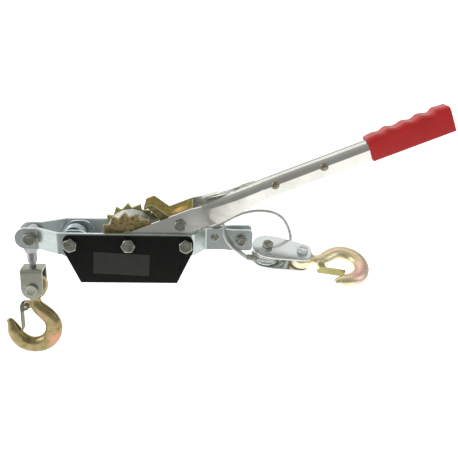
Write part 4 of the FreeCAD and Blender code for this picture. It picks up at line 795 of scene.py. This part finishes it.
# Routes of the free rope, as in the solids; the run's third point is in the throat
RUN_ROUTE = [(30.0, -13.5, 77.1), (65.0, -5.6, 68.9), (98.0, -0.6, 62.4), (116.0, 0.4, 69.2),
             (131.0, 1.0, 79.0), (149.0, 1.3, 87.0), (170.0, 1.8, 89.8), (190.0, 2.8, 86.0),
             (205.0, 4.4, 73.2)]
EYE_ROUTE = [(148.0, -16.2, 31.6), (142.6, -13.7, 35.6), (136.2, -13.7, 39.9), (129.7, -13.7, 45.6),
             (124.2, -13.6, 53.0), (120.6, -12.6, 62.0), (119.8, -11.6, 70.6), (121.2, -2.0, 70.8),
             (124.4, -1.7, 60.0), (131.6, -1.7, 49.0), (139.6, -2.6, 39.2), (146.0, -8.6, 32.4)]
SLEEVE_LEAD, SLEEVE_LONG, ROPES_APART = 10.6, 13.0, 2.2
RUN_DROP, WRAP_GAP = 36.0, 0.3

# Outer layer on the drum
LEAVE_ANGLE, WINDING_R, WINDING_PITCH, WINDING_TURNS, WINDING_START = 77.0, 31.2, 4.5, 6.25, -14.0625
TURN_STEPS, WRAP_STEPS = 90, 16


def winding_point(turns):
    """Point of the outer layer on the drum, so many turns from where the rope leaves."""
    angle = math.radians(LEAVE_ANGLE) + 2 * math.pi * turns
    return mm(WINDING_R * math.cos(angle), WINDING_START + WINDING_PITCH * turns,
              DRUM_RISE + WINDING_R * math.sin(angle))


def make_ropes(finishes):
    """Laid wire rope in place of the plain tubes."""
    wire = finishes["rope"]
    coil = [winding_point(k / TURN_STEPS) for k in range(int(WINDING_TURNS * TURN_STEPS) + 1)]
    lead = (coil[0] - coil[1]).normalized()
    coil = [coil[0] + lead * 0.004] + coil
    bm = bmesh.new()
    rope_strands(bm, coil, ROPE_R)
    piece("winding_strands", bm, "drum", wire, ("rope_winding",))
    run = [coil[0], *[mm(*point) for point in RUN_ROUTE], wrap_point(WRAP_END, RUN_DROP),
           wrap_point(WRAP_END, WRAP_GAP)]
    throat = mm(*RUN_ROUTE[2])
    make_cord("run_strands", run, wire, ("rope_run",), stretch=(throat, throat.lerp(run[-1], 0.9)))
    wrap = [wrap_point(WRAP_START + k / WRAP_STEPS * (WRAP_END - WRAP_START)) for k in range(WRAP_STEPS + 1)]
    bm = bmesh.new()
    rope_strands(bm, wrap, ROPE_R)
    piece("wrap_strands", bm, "block", wire, ("rope_wrap",))
    leave, seat = wrap_point(WRAP_START, -WRAP_GAP), wrap_point(WRAP_START, -SLEEVE_LEAD)
    way = (seat - leave).normalized()
    bm = bmesh.new()
    rope_strands(bm, [leave, leave.lerp(seat, 0.5), seat + way * 0.001], ROPE_R)
    piece("return_strands", bm, "frame", wire, ("rope_return",), stretch=(seat, leave))
    mouth = seat + way * SLEEVE_LONG * MM
    across = (Y - way * Y.dot(way)).normalized() * ROPES_APART * MM
    eye = [mouth - across, *[mm(*point) for point in EYE_ROUTE], mouth + across]
    make_cord("eye_strands", eye, wire, ("rope_eye",))
    make_sleeve(finishes["sleeve"], seat, way, across.normalized())


def make_cord(name, points, wire, nodes, stretch=None):
    """Free rope along a smooth line through its route."""
    line = route(name + "_line", points)
    bm = bmesh.new()
    rope_strands(bm, line, ROPE_R)
    obj = piece(name, bm, "frame", wire, nodes, stretch)


# Pressed sleeve: half its width and height, and how full it is at places along it
SLEEVE_HALF_WIDTH, SLEEVE_HALF_HEIGHT, SLEEVE_SIDES = 4.6, 4.1, 40
SLEEVE_STATIONS = [(0.0, 0.80), (0.25, 0.93), (0.6, 1.0), (2.6, 1.0), (3.1, 0.90), (4.4, 0.89), (4.9, 1.0),
                   (6.0, 1.0), (6.5, 0.90), (7.8, 0.89), (8.3, 1.0), (9.4, 1.0), (9.9, 0.90), (11.0, 0.90),
                   (11.5, 1.0), (12.4, 1.0), (12.75, 0.93), (SLEEVE_LONG, 0.80)]


def make_sleeve(material, seat, way, across):
    """Pressed sleeve: oval, with three crimped bands."""
    square = way.cross(across)
    bm = bmesh.new()
    rings = []
    for at, share in SLEEVE_STATIONS:
        base = seat + way * at * MM
        ring = []
        for k in range(SLEEVE_SIDES):
            a = 2 * math.pi * k / SLEEVE_SIDES
            offset = across * SLEEVE_HALF_WIDTH * math.cos(a) + square * SLEEVE_HALF_HEIGHT * math.sin(a)
            ring.append(bm.verts.new(base + offset * MM * share))
        rings.append(ring)
    skin(bm, rings)
    piece("sleeve_pressed", bm, "frame", material, ("rope_sleeve",))


# Grip

# Finger bumps: share of the grip's length, and rise over its plain top
GRIP_KEYS = [(0.0, 0.2), (0.10, 1.1), (0.185, 0.2), (0.267, 2.9), (0.372, 0.2), (0.482, 2.3), (0.575, 0.2),
             (0.668, 3.2), (0.79, 0.6), (0.861, 4.2), (1.0, 3.0)]
GRIP_START, GRIP_END = 325.7, 432.4
GRIP_TOP, GRIP_LOW, GRIP_HALF_WIDTH = 14.0, -16.2, 14.4
TOP_CORNER, LOW_CORNER, LEAST_CORNER = 6.5, 2.6, 0.4

# Rolled mouth and closed end: distance along the grip from its start or end, and how far in from its skin
MOUTH = ((9.0, 2.35), (1.0, 2.2), (0.2, 1.9), (0.0, 1.2), (0.1, 0.5), (0.6, 0.0))
CLOSED_END = ((0.5, 0.15), (1.0, 0.5), (1.4, 1.0), (1.6, 1.8), (1.6, 6.0))


def eased(keys, steps):
    """Stations between (share, height) keys, flat at each key."""
    stations = []
    for (share, height), (next_share, next_height) in zip(keys, keys[1:]):
        for i in range(steps):
            part = i / steps
            ease = 0.5 - 0.5 * math.cos(math.pi * part)
            stations.append((share + part * (next_share - share), height + ease * (next_height - height)))
    return stations + [keys[-1]]


def grip_ring(bm, turn, x, top, inset):
    """Rounded rectangle round the bar at x, in millimetres of the handle's frame."""
    half, low, high = GRIP_HALF_WIDTH - inset, GRIP_LOW + inset, top - inset
    ring = []
    for cx, cz, radius, start in ((half, high, TOP_CORNER, 0), (-half, high, TOP_CORNER, 90),
                                  (-half, low, LOW_CORNER, 180), (half, low, LOW_CORNER, 270)):
        radius = max(LEAST_CORNER, radius - inset)
        mx, mz = cx - math.copysign(radius, cx), cz - math.copysign(radius, cz)
        for k in range(9):
            a = math.radians(start + k * 90 / 8)
            ring.append(bm.verts.new(turn @ mm(x, mx + radius * math.cos(a), mz + radius * math.sin(a))))
    return ring


def make_grip(material):
    """Moulded sleeve with finger bumps, open where the bar goes in."""
    turn = handle_turn()
    bm = bmesh.new()
    first_top, last_top = GRIP_TOP + GRIP_KEYS[0][1], GRIP_TOP + GRIP_KEYS[-1][1]
    rings = [grip_ring(bm, turn, GRIP_START + along, first_top, inset) for along, inset in MOUTH]
    for share, rise in eased(GRIP_KEYS, 7)[1:]:
        rings.append(grip_ring(bm, turn, GRIP_START + share * (GRIP_END - GRIP_START), GRIP_TOP + rise, 0.0))
    for beyond, inset in CLOSED_END:
        rings.append(grip_ring(bm, turn, GRIP_END + beyond, last_top, inset))
    skin(bm, rings)
    piece("grip_moulded", bm, "handle", material, ("hand_grip",))


# Forged pieces

def forged(node, body, material, voxel=0.7, rounds=6):
    """Copy of a solid with its edges melted together as a forging's are. voxel is in millimetres."""
    mesh = NODES[node].data.copy()
    blank = bpy.data.objects.new(node + "_blank", mesh)
    bpy.context.scene.collection.objects.link(blank)
    remesh = blank.modifiers.new("remesh", "REMESH")
    remesh.mode, remesh.voxel_size = "VOXEL", voxel * MM
    smooth = blank.modifiers.new("smooth", "SMOOTH")
    smooth.factor, smooth.iterations = 0.5, rounds
    made = bpy.data.meshes.new_from_object(blank.evaluated_get(bpy.context.evaluated_depsgraph_get()))
    bpy.data.objects.remove(blank)
    for polygon in made.polygons:
        polygon.use_smooth = True
    return add_piece(node + ".forged", made, body, material, (node,))


# Solids that forged() replaces, solids with another finish than their slot's, and widths of rounded edges,
# in metres
FORGED = ("anchor_hook", "pull_hook", "knuckle")
OWN_FINISH = {"anchor_clevis": "clevis", "rear_ratchet_wheel": "rear_wheel", "rear_side_strap": "rear_strap",
              "anchor_latch": "anchor_latch"}
USUAL_EDGE = 0.0004
EDGES = {"front_ratchet_wheel": 0.0008, "rear_ratchet_wheel": 0.0008, "drive_pawl": 0.0008,
         "holding_pawl": 0.0006}


def main():
    """Dress the tool."""
    make_camera()
    finishes = make_materials()
    make_ropes(finishes)
    slots = {entry["node"]: entry["material_slot"] for entry in frame["record"]["subparts"]}
    for name, obj in NODES.items():
        dress(obj, finishes[OWN_FINISH.get(name, slots[name])])
        if name not in FORGED:
            soften(obj, EDGES.get(name, USUAL_EDGE))
    forged("anchor_hook", "anchor_hook", finishes["anchor_hook"])
    forged("pull_hook", "pull_hook", finishes["hook"])
    forged("knuckle", "knuckle", finishes["knuckle"], 0.5, 4)
    make_fasteners(finishes)
    make_grip(finishes["grip"])
    make_stage()
    make_light()
    make_look()


main()
